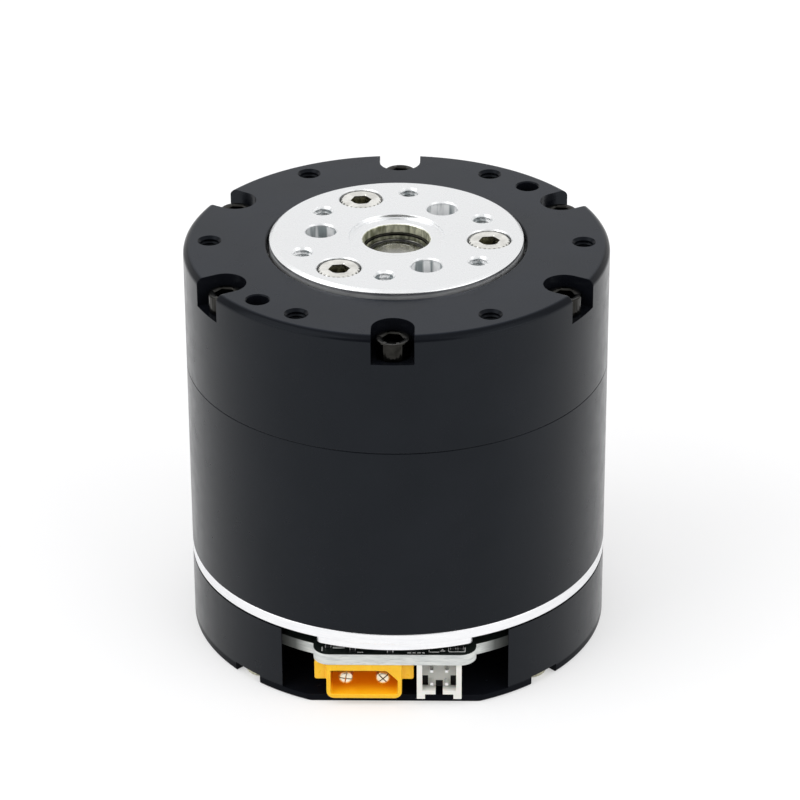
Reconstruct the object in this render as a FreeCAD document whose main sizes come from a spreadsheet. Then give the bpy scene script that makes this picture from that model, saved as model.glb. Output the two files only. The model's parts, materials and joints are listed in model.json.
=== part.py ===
import FreeCAD, Part

import math
import os

import Sketcher
from FreeCAD import Placement, Rotation, Vector

# A robot joint actuator: an outrunner motor drives a two-stage planetary gearbox, and a
# driver board with an encoder sits under the motor. The base of the rear cover lies on
# z = 0, the output axis is +Z and the connectors face -Y. Lengths are in millimetres.

SIZES = {
    # casings, stacked from the base up
    "casing_radius": 28.5,
    "cover_height": 10.35,
    "cover_wall": 1.4,
    "cover_floor": 1.0,
    "plate_rim": 1.5,
    "motor_length": 27.35,
    "front_length": 16.8,
    "front_chamfer": 0.9,
    "front_lip": 3.0,
    "front_wall": 7.5,
    # gaps between pieces
    "fit_gap": 0.01,
    "running_gap": 0.04,
    "seal_gap": 0.1,
    "turning_gap": 0.3,
    "lip_gap": 0.4,
    "screw_gap": 0.2,
    "thread_gap": 0.02,
    "cut_reach": 1.0,
    # screws that join the casings
    "casing_screw_edge": 2.9,
    "casing_screw_radius": 1.25,
    "casing_screw_head": 2.25,
    "front_screw_count": 6,
    "front_screw_turn": 30,
    "front_screw_length": 20.0,
    "front_head_height": 2.5,
    "front_head_hex": 2.0,
    "notch_radius": 2.8,
    "notch_depth": 3.9,
    "cover_screw_count": 4,
    "cover_screw_turn": 45,
    "cover_screw_length": 16.0,
    "cover_head_height": 1.2,
    "cover_head_hex": 1.5,
    "cover_notch_radius": 2.4,
    "cover_notch_depth": 1.3,
    "cover_boss_radius": 2.85,
    # holes of the front face
    "front_hole_edge": 3.5,
    "front_hole_radius": 1.25,
    "front_hole_depth": 6.0,
    "front_hole_count": 6,
    "front_dowel_radius": 1.5,
    "front_dowel_depth": 5.0,
    "front_dowel_turn": 45,
    "front_dowel_count": 2,
    # output flange
    "flange_stand": 1.0,
    "flange_radius": 17.0,
    "flange_bevel": 0.7,
    "flange_turn": -6.2,
    "recess_radius": 6.35,
    "recess_depth": 0.5,
    "flange_screw_inset": 2.55,
    "flange_screw_radius": 1.5,
    "flange_screw_head": 2.75,
    "flange_screw_length": 8.0,
    "flange_head_height": 3.0,
    "flange_head_hex": 2.5,
    "flange_screw_seat": 2.95,
    "flange_seat_depth": 3.1,
    "flange_dowel_inset": 4.8,
    "flange_dowel_radius": 2.05,
    "flange_dowel_turn": 60,
    "flange_hole_radius": 1.25,
    "flange_hole_inset": 2.5,
    "flange_hole_turn": 30,
    "outer_hole_inset": 1.5,
    "outer_hole_turn": 90,
    "third_count": 3,
    # output carrier and main bearing
    "main_bearing_width": 7.0,
    "carrier_shoulder": 1.3,
    "centre_bearing_inner": 2.5,
    "centre_bearing_outer": 4.5,
    "centre_bearing_split": 3.5,
    "centre_bearing_width": 3.0,
    "centre_bearing_depth": 2.6,
    # gears
    "sun_teeth": 12,
    "planet_teeth": 18,
    "ring_teeth": 48,
    "tooth_play": 0.1,
    "planet_angle": 60,
    "second_planet_width": 4.7,
    "first_planet_width": 4.5,
    "first_plate": 1.6,
    "planet_pin_edge": 1.0,
    "second_pin_seat": 6.0,
    # motor
    "motor_wall": 4.9,
    "web_depth": 6.9,
    "web_thickness": 3.4,
    "web_lip": 0.4,
    "web_lip_radius": 4.4,
    "shaft_radius": 3.0,
    "front_bearing_outer": 5.0,
    "front_bearing_split": 4.0,
    "front_bearing_width": 3.0,
    "rear_bearing_outer": 6.5,
    "rear_bearing_split": 4.6,
    "rear_bearing_width": 5.0,
    "stator_depth": 8.0,
    "post_bore": 4.2,
    "post_rise": 0.4,
    "post_shoulder_radius": 9.8,
    "spigot_height": 1.1,
    "stator_stand": 3.75,
    "stator_length": 9.0,
    "air_gap": 0.6,
    "yoke_wall": 3.4,
    "stator_shoe": 1.3,
    "tooth_overlap": 0.5,
    "stator_tooth_width": 3.4,
    "stator_teeth": 12,
    "slot_opening": 2.2,
    "coil_gap": 0.15,
    "coil_thickness": 1.05,
    "coil_head": 1.9,
    "coil_inset": 0.6,
    "bell_wall": 1.3,
    "bell_gap": 0.5,
    "bell_plate": 1.4,
    "bell_boss": 2.8,
    "bell_boss_radius": 6.0,
    "bell_stand": 2.55,
    "magnet_count": 14,
    "magnet_width": 7.0,
    "magnet_thickness": 1.5,
    "magnet_length": 10.0,
    "encoder_magnet_radius": 2.5,
    "encoder_magnet_height": 1.5,
    "encoder_magnet_gap": 0.6,
    # rear cover's window and driver board
    "window_half": 15.2,
    "window_depth": 7.5,
    "floor_edge_setback": 2.57,
    "board_underside": 6.4,
    "board_thickness": 1.6,
    "board_edge_gap": 0.4,
    "board_tab_half": 10.9,
    "board_tab_setback": 1.3,
    "board_tab_corner": 2.2,
    "board_boss_gap": 0.45,
    "standoff_edge": 7.5,
    "standoff_radius": 2.4,
    "board_screw_radius": 1.0,
    "board_screw_head": 1.75,
    "board_head_height": 1.3,
    "board_screw_length": 4.4,
    "board_screw_turn": 90,
    "window_tab_angle": 43.3,
    "window_tab_setback": 0.3,
    "window_tab_width": 3.6,
    "window_tab_drop": 1.0,
    "encoder_chip_side": 5.0,
    "chip_height": 0.9,
    "controller_side": 7.0,
    "controller_inset": 7.5,
    "transistor_length": 5.0,
    "transistor_width": 6.0,
    "transistor_inset": 6.5,
    "transistor_count": 6,
    "capacitor_radius": 2.5,
    "capacitor_height": 4.2,
    "capacitor_inset": 5.0,
    "capacitor_count": 2,
    "component_turn": 30,
    "lead_radius": 0.6,
    "lead_circle": 13.2,
    "lead_hole": 1.0,
    "lead_turn": 60,
    # power connector and its pins, under the board
    "plug_setback": 1.4,
    "plug_floor_gap": 0.05,
    "power_centre": -4.1,
    "power_width": 10.1,
    "power_depth": 10.6,
    "power_wing": 13.3,
    "power_wing_drop": 2.65,
    "power_wing_setback": 0.6,
    "power_wing_depth": 8.0,
    "power_corner": 1.0,
    "power_cavity_width": 8.96,
    "power_lower_wall": 0.65,
    "power_upper_wall": 1.07,
    "power_cavity_corner": 1.5,
    "power_cavity_depth": 8.4,
    "power_pin_pitch": 5.0,
    "power_pin_radius": 1.0,
    "power_pin_inset": 1.1,
    # signal header and its pins, under the board
    "signal_centre": 5.95,
    "signal_width": 6.0,
    "signal_depth": 7.6,
    "signal_wall": 0.73,
    "signal_foot_width": 1.1,
    "signal_foot_height": 0.7,
    "signal_floor": 0.58,
    "signal_cavity_depth": 2.3,
    "signal_slot_width": 0.96,
    "signal_slot_height": 0.87,
    "signal_window_width": 0.77,
    "signal_window_height": 1.47,
    "signal_pin_pitch": 2.0,
    "signal_pin_side": 0.5,
    "signal_pin_inset": 0.7,
}

doc = FreeCAD.newDocument("joint_actuator")
sheet = doc.addObject("Spreadsheet::Sheet", "Sizes")
for row, (name, number) in enumerate(SIZES.items(), 1):
    sheet.set(f"A{row}", name)
    sheet.set(f"B{row}", str(number))
    sheet.setAlias(f"B{row}", name)
doc.recompute()


class Size:
    """A formula over the sheet's cells. It adds and scales as a number does, and its text is
    what a property or a dimension of a sketch is bound to."""

    def __init__(self, text):
        self.text = str(text)

    def __add__(self, other):
        return Size(f"({self.text} + {Size.of(other).text})")

    def __sub__(self, other):
        return Size(f"({self.text} - {Size.of(other).text})")

    def __mul__(self, factor):
        return Size(f"({self.text} * {Size.of(factor).text})")

    def __truediv__(self, divisor):
        return Size(f"({self.text} / {Size.of(divisor).text})")

    def __neg__(self):
        return Size(f"(0 - {self.text})")

    @staticmethod
    def of(other):
        return other if isinstance(other, Size) else Size(f"({other})")

    @property
    def value(self):
        return float(sheet.evalExpression(self.text))


class Cells:
    """cell.name is the sheet's cell of that name, as a formula."""

    def __getattr__(self, name):
        if name not in SIZES:
            raise AttributeError(name)
        return Size(f"Sizes.{name}")


cell = Cells()
ZERO = Size("0")
FULL_TURN = 360
# how deep a screw's socket is, as a share of its head's height
SOCKET_SHARE = 0.5
# heights of gear teeth above and below the pitch circle and the ring gear's wall, in modules
TOOTH_HEAD = 1.0
TOOTH_ROOT = 1.25
RING_WALL = 1.0
# radii of the gearbox's turning parts, in modules
PLANET_PIN = 2.5
SUN_BORE = 2.5
SUN_SPIGOT = 3.75
HUB = 18.75
SHOULDER = 20.75
MAIN_BEARING_SPLIT = 21.5
PRESSURE_ANGLE = math.radians(20)

# levels along the axis, from the base up
plate_bottom = cell.cover_height
motor_bottom = plate_bottom + cell.plate_rim
seam = motor_bottom + cell.motor_length
front_face = seam + cell.front_length
output_face = front_face + cell.flange_stand
main_bearing_top = front_face - cell.front_lip
main_bearing_bottom = main_bearing_top - cell.main_bearing_width
carrier_bottom = main_bearing_bottom - cell.carrier_shoulder
second_planet_top = carrier_bottom - cell.turning_gap
second_planet_bottom = second_planet_top - cell.second_planet_width
first_plate_top = second_planet_bottom - cell.turning_gap
first_plate_bottom = first_plate_top - cell.first_plate
first_planet_top = first_plate_bottom - cell.turning_gap
first_planet_bottom = first_planet_top - cell.first_planet_width
web_top = seam - cell.web_depth
web_bottom = web_top - cell.web_thickness
first_sun_bottom = web_top + cell.turning_gap
front_bearing_top = web_top - cell.web_lip
board_top = cell.board_underside + cell.board_thickness
encoder_magnet_bottom = board_top + cell.chip_height + cell.encoder_magnet_gap
shaft_bottom = encoder_magnet_bottom + cell.encoder_magnet_height
bell_top = web_bottom - cell.bell_gap
stator_bottom = motor_bottom + cell.stator_stand
stator_top = stator_bottom + cell.stator_length
post_top = stator_top + cell.post_rise
plug_bottom = cell.cover_floor + cell.plug_floor_gap
centre_bearing_top = output_face - cell.centre_bearing_depth
centre_bearing_bottom = centre_bearing_top - cell.centre_bearing_width

# radii that two pieces share
casing_screw_circle = cell.casing_radius - cell.casing_screw_edge
front_hole_circle = cell.casing_radius - cell.front_hole_edge
standoff_circle = cell.casing_radius - cell.standoff_edge
window_back = cell.window_depth - cell.casing_radius
main_bearing_outer = cell.casing_radius - cell.front_wall
housing_bore = main_bearing_outer + cell.fit_gap
motor_bore = cell.casing_radius - cell.motor_wall
bell_radius = motor_bore - cell.bell_gap
bell_inside = bell_radius - cell.bell_wall
magnet_back = Size(f"sqrt({bell_inside.text}^2 - {cell.magnet_width.text}^2 / 4)") - cell.fit_gap
magnet_face = magnet_back - cell.magnet_thickness
stator_radius = magnet_face - cell.air_gap
yoke_radius = stator_radius - cell.stator_depth
post_radius = yoke_radius - cell.yoke_wall
gear_module = main_bearing_outer / (cell.ring_teeth / 2 + TOOTH_ROOT + RING_WALL)
gear_orbit = gear_module * (cell.sun_teeth + cell.planet_teeth) / 2
planet_pin_radius = gear_module * PLANET_PIN
first_plate_radius = gear_orbit + planet_pin_radius + cell.planet_pin_edge
sun_bore = gear_module * SUN_BORE
sun_spigot = gear_module * SUN_SPIGOT
main_bearing_inner = gear_module * HUB
main_bearing_split = gear_module * MAIN_BEARING_SPLIT
carrier_shoulder_radius = gear_module * SHOULDER
flange_screw_circle = main_bearing_inner - cell.flange_screw_inset
flange_dowel_circle = main_bearing_inner - cell.flange_dowel_inset
flange_hole_circle = main_bearing_inner - cell.flange_hole_inset
outer_hole_circle = main_bearing_inner - cell.outer_hole_inset
casing_thread = cell.casing_screw_radius + cell.thread_gap
casing_clearance = cell.casing_screw_radius + cell.screw_gap
flange_thread = cell.flange_screw_radius + cell.thread_gap
board_thread = cell.board_screw_radius + cell.thread_gap
plug_face = cell.casing_radius - cell.plug_setback


def dimension(sketch, kind, where, size):
    """A driving dimension of a sketch, bound to its formula."""
    index = sketch.addConstraint(Sketcher.Constraint(kind, *where, size.value))
    sketch.setExpression(f"Constraints[{index}]", size.text)


def place_point(sketch, line, end, x, y):
    """Places one end of a line, or the centre of an arc, from the sketch's origin."""
    dimension(sketch, "DistanceX", (-1, 1, line, end), x)
    dimension(sketch, "DistanceY", (-1, 1, line, end), y)


def toward(here, there):
    """Unit step from one point to another that lies straight along the X or the Y axis."""
    step = there - here
    step.normalize()
    return round(step.x), round(step.y)


def draw_outline(sketch, corners):
    """A closed outline through corners (x, y). A corner (x, y, radius) is rounded, and the
    lines that meet there run along the axes."""
    points = [Vector(Size.of(c[0]).value, Size.of(c[1]).value, 0) for c in corners]
    count = len(corners)
    ends = []
    rounds = []
    for i, corner in enumerate(corners):
        x, y = Size.of(corner[0]), Size.of(corner[1])
        if len(corner) == 2:
            ends.append([(x, y)])
            continue
        radius = corner[2]
        back = toward(points[i], points[i - 1])
        on = toward(points[i], points[(i + 1) % count])
        ends.append([(x + radius * step[0], y + radius * step[1]) for step in (back, on)])
        rounds.append((i, radius, back, on))
    first = len(sketch.Geometry)
    for i in range(count):
        start, end = ends[i][-1], ends[(i + 1) % count][0]
        here = Vector(start[0].value, start[1].value, 0)
        there = Vector(end[0].value, end[1].value, 0)
        sketch.addGeometry(Part.LineSegment(here, there))
    for i in range(count):
        if len(ends[i]) == 1:
            before = first + (i - 1) % count
            sketch.addConstraint(Sketcher.Constraint("Coincident", before, 2, first + i, 1))
    for i, radius, back, on in rounds:
        round_corner(sketch, points[i], radius, back, on, first + (i - 1) % count, first + i)
        place_point(sketch, first + (i - 1) % count, 2, *ends[i][0])
    for i in range(count):
        place_point(sketch, first + i, 1, *ends[i][-1])


def round_corner(sketch, corner, radius, back, on, line_in, line_out):
    """The arc that rounds a square corner between the end of line_in and the start of line_out."""
    size = radius.value
    centre = corner + Vector(back[0] + on[0], back[1] + on[1], 0) * size
    angle_in = math.atan2(-on[1], -on[0])
    angle_out = math.atan2(-back[1], -back[0])
    leftward = on[0] * back[1] - on[1] * back[0] > 0
    start, end = (angle_in, angle_out) if leftward else (angle_out, angle_in)
    if end < start:
        end += 2 * math.pi
    circle = Part.Circle(centre, Vector(0, 0, 1), size)
    arc = sketch.addGeometry(Part.ArcOfCircle(circle, start, end))
    arc_in, arc_out = (1, 2) if leftward else (2, 1)
    sketch.addConstraint(Sketcher.Constraint("Coincident", line_in, 2, arc, arc_in))
    sketch.addConstraint(Sketcher.Constraint("Coincident", arc, arc_out, line_out, 1))
    dimension(sketch, "Radius", (arc,), radius)


def rectangle(low_x, high_x, low_y, high_y):
    return [(low_x, low_y), (high_x, low_y), (high_x, high_y), (low_x, high_y)]


def draw_rectangle(sketch, low_x, high_x, low_y, high_y):
    draw_outline(sketch, rectangle(low_x, high_x, low_y, high_y))


def draw_circle(sketch, x, y, radius):
    x, y = Size.of(x), Size.of(y)
    circle = Part.Circle(Vector(x.value, y.value, 0), Vector(0, 0, 1), radius.value)
    index = sketch.addGeometry(circle)
    dimension(sketch, "Radius", (index,), radius)
    place_point(sketch, index, 3, x, y)


def draw_hexagon(sketch, x, across):
    """A hexagon about (x, 0), across its flats."""
    corner = across / math.sqrt(3)
    turns = [math.radians(60 * k) for k in range(6)]
    draw_outline(sketch, [(x + corner * math.cos(a), corner * math.sin(a)) for a in turns])


def draw_open_slot(sketch, x, radius, reach):
    """A slot that ends in a half circle about (x, 0) and runs straight out to reach."""
    right, low = reach.value, -radius.value
    high, centre = radius.value, Vector(x.value, 0, 0)
    lines = [
        Part.LineSegment(Vector(x.value, low, 0), Vector(right, low, 0)),
        Part.LineSegment(Vector(right, low, 0), Vector(right, high, 0)),
        Part.LineSegment(Vector(right, high, 0), Vector(x.value, high, 0)),
    ]
    for line in lines:
        sketch.addGeometry(line)
    circle = Part.Circle(centre, Vector(0, 0, 1), high)
    sketch.addGeometry(Part.ArcOfCircle(circle, math.pi / 2, 3 * math.pi / 2))
    for one, its_end, other, other_end in ((0, 2, 1, 1), (1, 2, 2, 1), (2, 2, 3, 1), (3, 2, 0, 1)):
        sketch.addConstraint(Sketcher.Constraint("Coincident", one, its_end, other, other_end))
    place_point(sketch, 0, 1, x, -radius)
    place_point(sketch, 1, 1, reach, -radius)
    place_point(sketch, 2, 1, reach, radius)
    place_point(sketch, 2, 2, x, radius)
    dimension(sketch, "DistanceX", (-1, 1, 3, 3), x)


class Piece:
    """A sub-part: a PartDesign body whose label names its file. turn rotates the whole body
    about the output axis, through its Placement."""

    def __init__(self, label, turn=None):
        self.body = doc.addObject("PartDesign::Body", label)
        self.body.Label = label
        self.body.AllowCompound = True
        self.body.Placement = Placement(Vector(0, 0, 0), Rotation(Vector(0, 0, 1), 0))
        if turn is not None:
            self.body.setExpression("Placement.Rotation.Angle", Size.of(turn).text)
        pieces.append(self.body)

    def origin(self, role):
        return next(item for item in self.body.Origin.OriginFeatures if item.Role == role)

    def sketch(self, plane, height=None, turn=None):
        """An empty sketch on an origin plane, lifted by height and turned about its normal."""
        sketch = self.body.newObject("Sketcher::SketchObject", f"{self.body.Label}_sketch")
        sketch.AttachmentSupport = [(self.origin(plane), "")]
        sketch.MapMode = "FlatFace"
        if height is not None:
            sketch.setExpression("AttachmentOffset.Base.z", height.text)
        if turn is not None:
            sketch.setExpression("AttachmentOffset.Rotation.Angle", Size.of(turn).text)
        return sketch

    def feature(self, kind, sketch):
        item = self.body.newObject(f"PartDesign::{kind}", f"{self.body.Label}_{kind.lower()}")
        item.Profile = sketch
        sketch.Visibility = False
        self.body.Tip = item
        return item

    def turned(self, corners, kind="Revolution"):
        """A closed outline of (radius, z) corners, revolved about the output axis."""
        sketch = self.sketch("XZ_Plane")
        draw_outline(sketch, corners)
        item = self.feature(kind, sketch)
        item.ReferenceAxis = (sketch, ["V_Axis"])
        item.Angle = 360
        return item

    def raised(self, sketch, length):
        """A pad that rises from its sketch along the normal."""
        item = self.feature("Pad", sketch)
        item.setExpression("Length", Size.of(length).text)
        return item

    def sunk(self, sketch, length, upward=False):
        """A pocket that cuts down from its sketch, or up where upward is true."""
        item = self.feature("Pocket", sketch)
        item.setExpression("Length", Size.of(length).text)
        item.Reversed = upward
        return item

    def hole(self, x, radius, top, depth, turn=None, y=ZERO):
        """A round pocket from the level top downwards."""
        sketch = self.sketch("XY_Plane", top, turn)
        draw_circle(sketch, x, y, radius)
        return self.sunk(sketch, depth)

    def rod(self, x, radius, bottom, length, turn=None, y=ZERO):
        """A round pad from the level bottom upwards."""
        sketch = self.sketch("XY_Plane", bottom, turn)
        draw_circle(sketch, x, y, radius)
        return self.raised(sketch, length)

    def around(self, features, count):
        """Copies of the features, spaced evenly about the output axis."""
        pattern = self.body.newObject("PartDesign::PolarPattern", f"{self.body.Label}_pattern")
        pattern.Originals = features
        pattern.Axis = (self.origin("Z_Axis"), [""])
        pattern.Angle = 360
        pattern.setExpression("Occurrences", Size.of(count).text)
        self.body.Tip = pattern
        return pattern


pieces = []


def ring(label, inner, outer, bottom, top, turn=None):
    """A plain turned ring."""
    piece = Piece(label, turn)
    piece.turned([(inner, bottom), (outer, bottom), (outer, top), (inner, top)])
    return piece


def bearing(label, inner, outer, split, bottom, top):
    """A sealed bearing: the outer race carries the seals, which reach the inner race."""
    ring(f"{label}_outer_race", split + cell.seal_gap, outer, bottom, top)
    ring(f"{label}_inner_race", inner, split, bottom, top)


def cap_screws(label, circle, count, turn, seat, shank, length, head, head_height, across):
    """Socket screws on a circle: heads above the seat, shanks below it, sockets from above."""
    piece = Piece(label, turn)
    rods = [
        piece.rod(circle, shank, seat - length, length),
        piece.rod(circle, head, seat, head_height),
    ]
    socket = piece.sketch("XY_Plane", seat + head_height)
    draw_hexagon(socket, circle, across)
    rods.append(piece.sunk(socket, head_height * SOCKET_SHARE))
    piece.around(rods, count)


def cover_screws():
    """Low-head screws from below, through the rear cover and the end plate."""
    piece = Piece("cover_screws", cell.cover_screw_turn)
    circle, seat = casing_screw_circle, cell.cover_notch_depth
    head_bottom = seat - cell.cover_head_height
    parts = [
        piece.rod(circle, cell.casing_screw_radius, seat, cell.cover_screw_length),
        piece.rod(circle, cell.casing_screw_head, head_bottom, cell.cover_head_height),
    ]
    socket = piece.sketch("XY_Plane", head_bottom)
    draw_hexagon(socket, circle, cell.cover_head_hex)
    parts.append(piece.sunk(socket, cell.cover_head_height * SOCKET_SHARE, upward=True))
    piece.around(parts, cell.cover_screw_count)


def tooth_outline(teeth, inner, outer, width):
    """Corners of a toothed wheel with involute flanks; width is a tooth's, on the pitch circle.
    Each flank runs through its root, its pitch point and its tip."""
    pitch = gear_module.value * teeth / 2
    base = pitch * math.cos(PRESSURE_ANGLE)

    def involute(radius):
        angle = math.acos(min(1.0, base / radius))
        return math.tan(angle) - angle

    def half_angle(radius):
        return width / (2 * pitch) + involute(pitch) - involute(max(radius, base))

    flank = [(radius, half_angle(radius)) for radius in (inner, pitch, outer)]
    corners = []
    for k in range(teeth):
        centre = 2 * math.pi * k / teeth
        corners += [(radius, centre - half) for radius, half in flank]
        corners += [(radius, centre + half) for radius, half in reversed(flank)]
    points = [Vector(r * math.cos(a), r * math.sin(a), 0) for r, a in corners]
    return Part.Face(Part.makePolygon(points + points[:1]))


def whole(size):
    return int(round(size.value))


def gear_feature(label, shape, x, y, z, turn):
    """A gear made at the origin, then placed at (x, y, z) and turned about its own axis."""
    item = doc.addObject("Part::Feature", label)
    item.Label = label
    item.Shape = shape
    item.Placement = Placement(Vector(x, y, z), Rotation(Vector(0, 0, 1), turn))
    pieces.append(item)


def gear_solid(teeth, width, bore):
    """An external gear with a plain bore, standing on z = 0."""
    module = gear_module.value
    pitch = module * teeth / 2
    thickness = math.pi * module / 2 - cell.tooth_play.value / 2
    blank = tooth_outline(teeth, pitch - TOOTH_ROOT * module, pitch + TOOTH_HEAD * module, thickness)
    solid = blank.extrude(Vector(0, 0, width))
    return solid.cut(Part.makeCylinder(bore, width)) if bore else solid


def front_housing():
    piece = Piece("front_housing")
    lip_radius = cell.flange_radius + cell.lip_gap
    piece.turned([
        (housing_bore, seam),
        (cell.casing_radius, seam),
        (cell.casing_radius, front_face - cell.front_chamfer),
        (cell.casing_radius - cell.front_chamfer, front_face),
        (lip_radius, front_face),
        (lip_radius, main_bearing_top),
        (housing_bore, main_bearing_top),
    ])
    turn = cell.front_screw_turn
    notch = piece.sketch("XY_Plane", front_face, turn)
    draw_open_slot(notch, casing_screw_circle, cell.notch_radius, cell.casing_radius + cell.cut_reach)
    cuts = [
        piece.sunk(notch, cell.notch_depth),
        piece.hole(casing_screw_circle, casing_clearance,
                   front_face, cell.front_length, turn),
    ]
    piece.around(cuts, cell.front_screw_count)
    tapped = piece.hole(front_hole_circle, cell.front_hole_radius,
                        front_face, cell.front_hole_depth)
    piece.around([tapped], cell.front_hole_count)
    dowel = piece.hole(front_hole_circle, cell.front_dowel_radius,
                       front_face, cell.front_dowel_depth, cell.front_dowel_turn)
    piece.around([dowel], cell.front_dowel_count)


def motor_housing():
    piece = Piece("motor_housing")
    seat = cell.front_bearing_outer + cell.fit_gap
    piece.turned([
        (motor_bore, motor_bottom),
        (cell.casing_radius, motor_bottom),
        (cell.casing_radius, seam),
        (housing_bore, seam),
        (housing_bore, web_top),
        (cell.web_lip_radius, web_top),
        (cell.web_lip_radius, front_bearing_top),
        (seat, front_bearing_top),
        (seat, web_bottom),
        (motor_bore, web_bottom),
    ])
    front_tip = front_face - cell.notch_depth - cell.front_screw_length
    tapped = piece.hole(casing_screw_circle, casing_thread, seam,
                        seam - front_tip + cell.turning_gap, cell.front_screw_turn)
    piece.around([tapped], cell.front_screw_count)
    rear_tip = cell.cover_notch_depth + cell.cover_screw_length + cell.turning_gap
    tapped = piece.hole(casing_screw_circle, casing_thread, rear_tip,
                        rear_tip - motor_bottom, cell.cover_screw_turn)
    piece.around([tapped], cell.cover_screw_count)


def end_plate():
    piece = Piece("end_plate")
    seat = cell.rear_bearing_outer + cell.fit_gap
    seat_top = plate_bottom + cell.rear_bearing_width
    spigot = motor_bore - cell.fit_gap
    spigot_top = motor_bottom + cell.spigot_height
    post = post_radius - cell.fit_gap
    piece.turned([
        (seat, plate_bottom),
        (cell.casing_radius, plate_bottom),
        (cell.casing_radius, motor_bottom),
        (spigot, motor_bottom),
        (spigot, spigot_top),
        (cell.post_shoulder_radius, spigot_top),
        (cell.post_shoulder_radius, stator_bottom),
        (post, stator_bottom),
        (post, post_top),
        (cell.post_bore, post_top),
        (cell.post_bore, seat_top),
        (seat, seat_top),
    ])
    standoff = piece.rod(standoff_circle, cell.standoff_radius, board_top,
                         plate_bottom - board_top, cell.board_screw_turn)
    screw_top = cell.board_underside + cell.board_screw_length + cell.turning_gap
    tapped = piece.hole(standoff_circle, board_thread, screw_top,
                        screw_top - board_top, cell.board_screw_turn)
    piece.around([standoff, tapped], cell.third_count)
    clear = piece.hole(casing_screw_circle, casing_clearance, motor_bottom,
                       cell.plate_rim, cell.cover_screw_turn)
    piece.around([clear], cell.cover_screw_count)
    tab = piece.sketch("YZ_Plane")
    tab_radius = cell.casing_radius - cell.window_tab_setback
    draw_rectangle(tab, -tab_radius, cell.window_tab_width - tab_radius,
                   plate_bottom - cell.window_tab_drop, plate_bottom)
    sector = piece.feature("Revolution", tab)
    sector.ReferenceAxis = (tab, ["V_Axis"])
    sector.Midplane = True
    sector.setExpression("Angle", cell.window_tab_angle.text)
    lead_hole = piece.hole(cell.lead_circle, cell.lead_hole, spigot_top,
                           spigot_top - plate_bottom, cell.lead_turn)
    piece.around([lead_hole], cell.third_count)


def rear_cover():
    piece = Piece("rear_cover")
    inside = cell.casing_radius - cell.cover_wall
    piece.turned([
        (ZERO, ZERO),
        (cell.casing_radius, ZERO),
        (cell.casing_radius, cell.cover_height),
        (inside, cell.cover_height),
        (inside, cell.cover_floor),
        (ZERO, cell.cover_floor),
    ])
    turn = cell.cover_screw_turn
    notch = piece.sketch("XY_Plane", cell.cover_notch_depth, turn)
    draw_open_slot(notch, casing_screw_circle, cell.cover_notch_radius,
                   cell.casing_radius + cell.cut_reach)
    features = [
        piece.rod(casing_screw_circle, cell.cover_boss_radius, cell.cover_floor,
                  cell.cover_height - cell.cover_floor, turn),
        piece.sunk(notch, cell.cover_notch_depth),
        piece.hole(casing_screw_circle, casing_clearance,
                   cell.cover_height, cell.cover_height, turn),
    ]
    piece.around(features, cell.cover_screw_count)
    window = piece.sketch("XY_Plane", cell.cover_height)
    far = cell.casing_radius + cell.cut_reach
    draw_rectangle(window, -cell.window_half, cell.window_half, -far, window_back)
    piece.sunk(window, cell.cover_height - cell.cover_floor)
    edge = piece.sketch("XY_Plane", cell.cover_floor)
    draw_rectangle(edge, -cell.window_half, cell.window_half,
                   -far, cell.floor_edge_setback - cell.casing_radius)
    piece.sunk(edge, cell.cover_floor)


def output_flange():
    piece = Piece("output_flange", cell.flange_turn)
    bore = cell.centre_bearing_outer + cell.fit_gap
    recess_floor = output_face - cell.recess_depth
    piece.turned([
        (bore, main_bearing_top),
        (cell.flange_radius, main_bearing_top),
        (cell.flange_radius, output_face - cell.flange_bevel),
        (cell.flange_radius - cell.flange_bevel, output_face),
        (cell.recess_radius, output_face),
        (cell.recess_radius, recess_floor),
        (bore, recess_floor),
    ])
    thickness = output_face - main_bearing_top
    cuts = [
        piece.hole(flange_screw_circle, cell.flange_screw_seat,
                   output_face, cell.flange_seat_depth),
        piece.hole(flange_screw_circle, cell.flange_screw_radius + cell.screw_gap,
                   output_face, thickness),
        piece.hole(flange_dowel_circle, cell.flange_dowel_radius,
                   output_face, thickness, cell.flange_dowel_turn),
        piece.hole(flange_hole_circle, cell.flange_hole_radius,
                   output_face, thickness, cell.flange_hole_turn),
        piece.hole(outer_hole_circle, cell.flange_hole_radius,
                   output_face, thickness, cell.outer_hole_turn),
    ]
    piece.around(cuts, cell.third_count)


def output_carrier():
    piece = Piece("output_carrier", cell.flange_turn)
    shaft_hole = cell.centre_bearing_inner + cell.turning_gap
    seat = cell.centre_bearing_outer + cell.fit_gap
    hub = main_bearing_inner - cell.fit_gap
    piece.turned([
        (shaft_hole, carrier_bottom),
        (carrier_shoulder_radius, carrier_bottom),
        (carrier_shoulder_radius, main_bearing_bottom),
        (hub, main_bearing_bottom),
        (hub, main_bearing_top),
        (seat, main_bearing_top),
        (seat, centre_bearing_bottom),
        (shaft_hole, centre_bearing_bottom),
    ])
    screw_tip = output_face - cell.flange_seat_depth - cell.flange_screw_length
    cuts = [
        piece.hole(flange_screw_circle, flange_thread, main_bearing_top,
                   main_bearing_top - screw_tip + cell.turning_gap),
        piece.hole(gear_orbit, planet_pin_radius + cell.fit_gap,
                   carrier_bottom + cell.second_pin_seat, cell.second_pin_seat,
                   cell.planet_angle),
    ]
    piece.around(cuts, cell.third_count)


def output_bearings():
    bearing("main_bearing", main_bearing_inner, main_bearing_outer,
            main_bearing_split, main_bearing_bottom, main_bearing_top)
    bearing("centre_bearing", cell.centre_bearing_inner + cell.fit_gap,
            cell.centre_bearing_outer, cell.centre_bearing_split,
            centre_bearing_bottom, centre_bearing_top)


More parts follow.
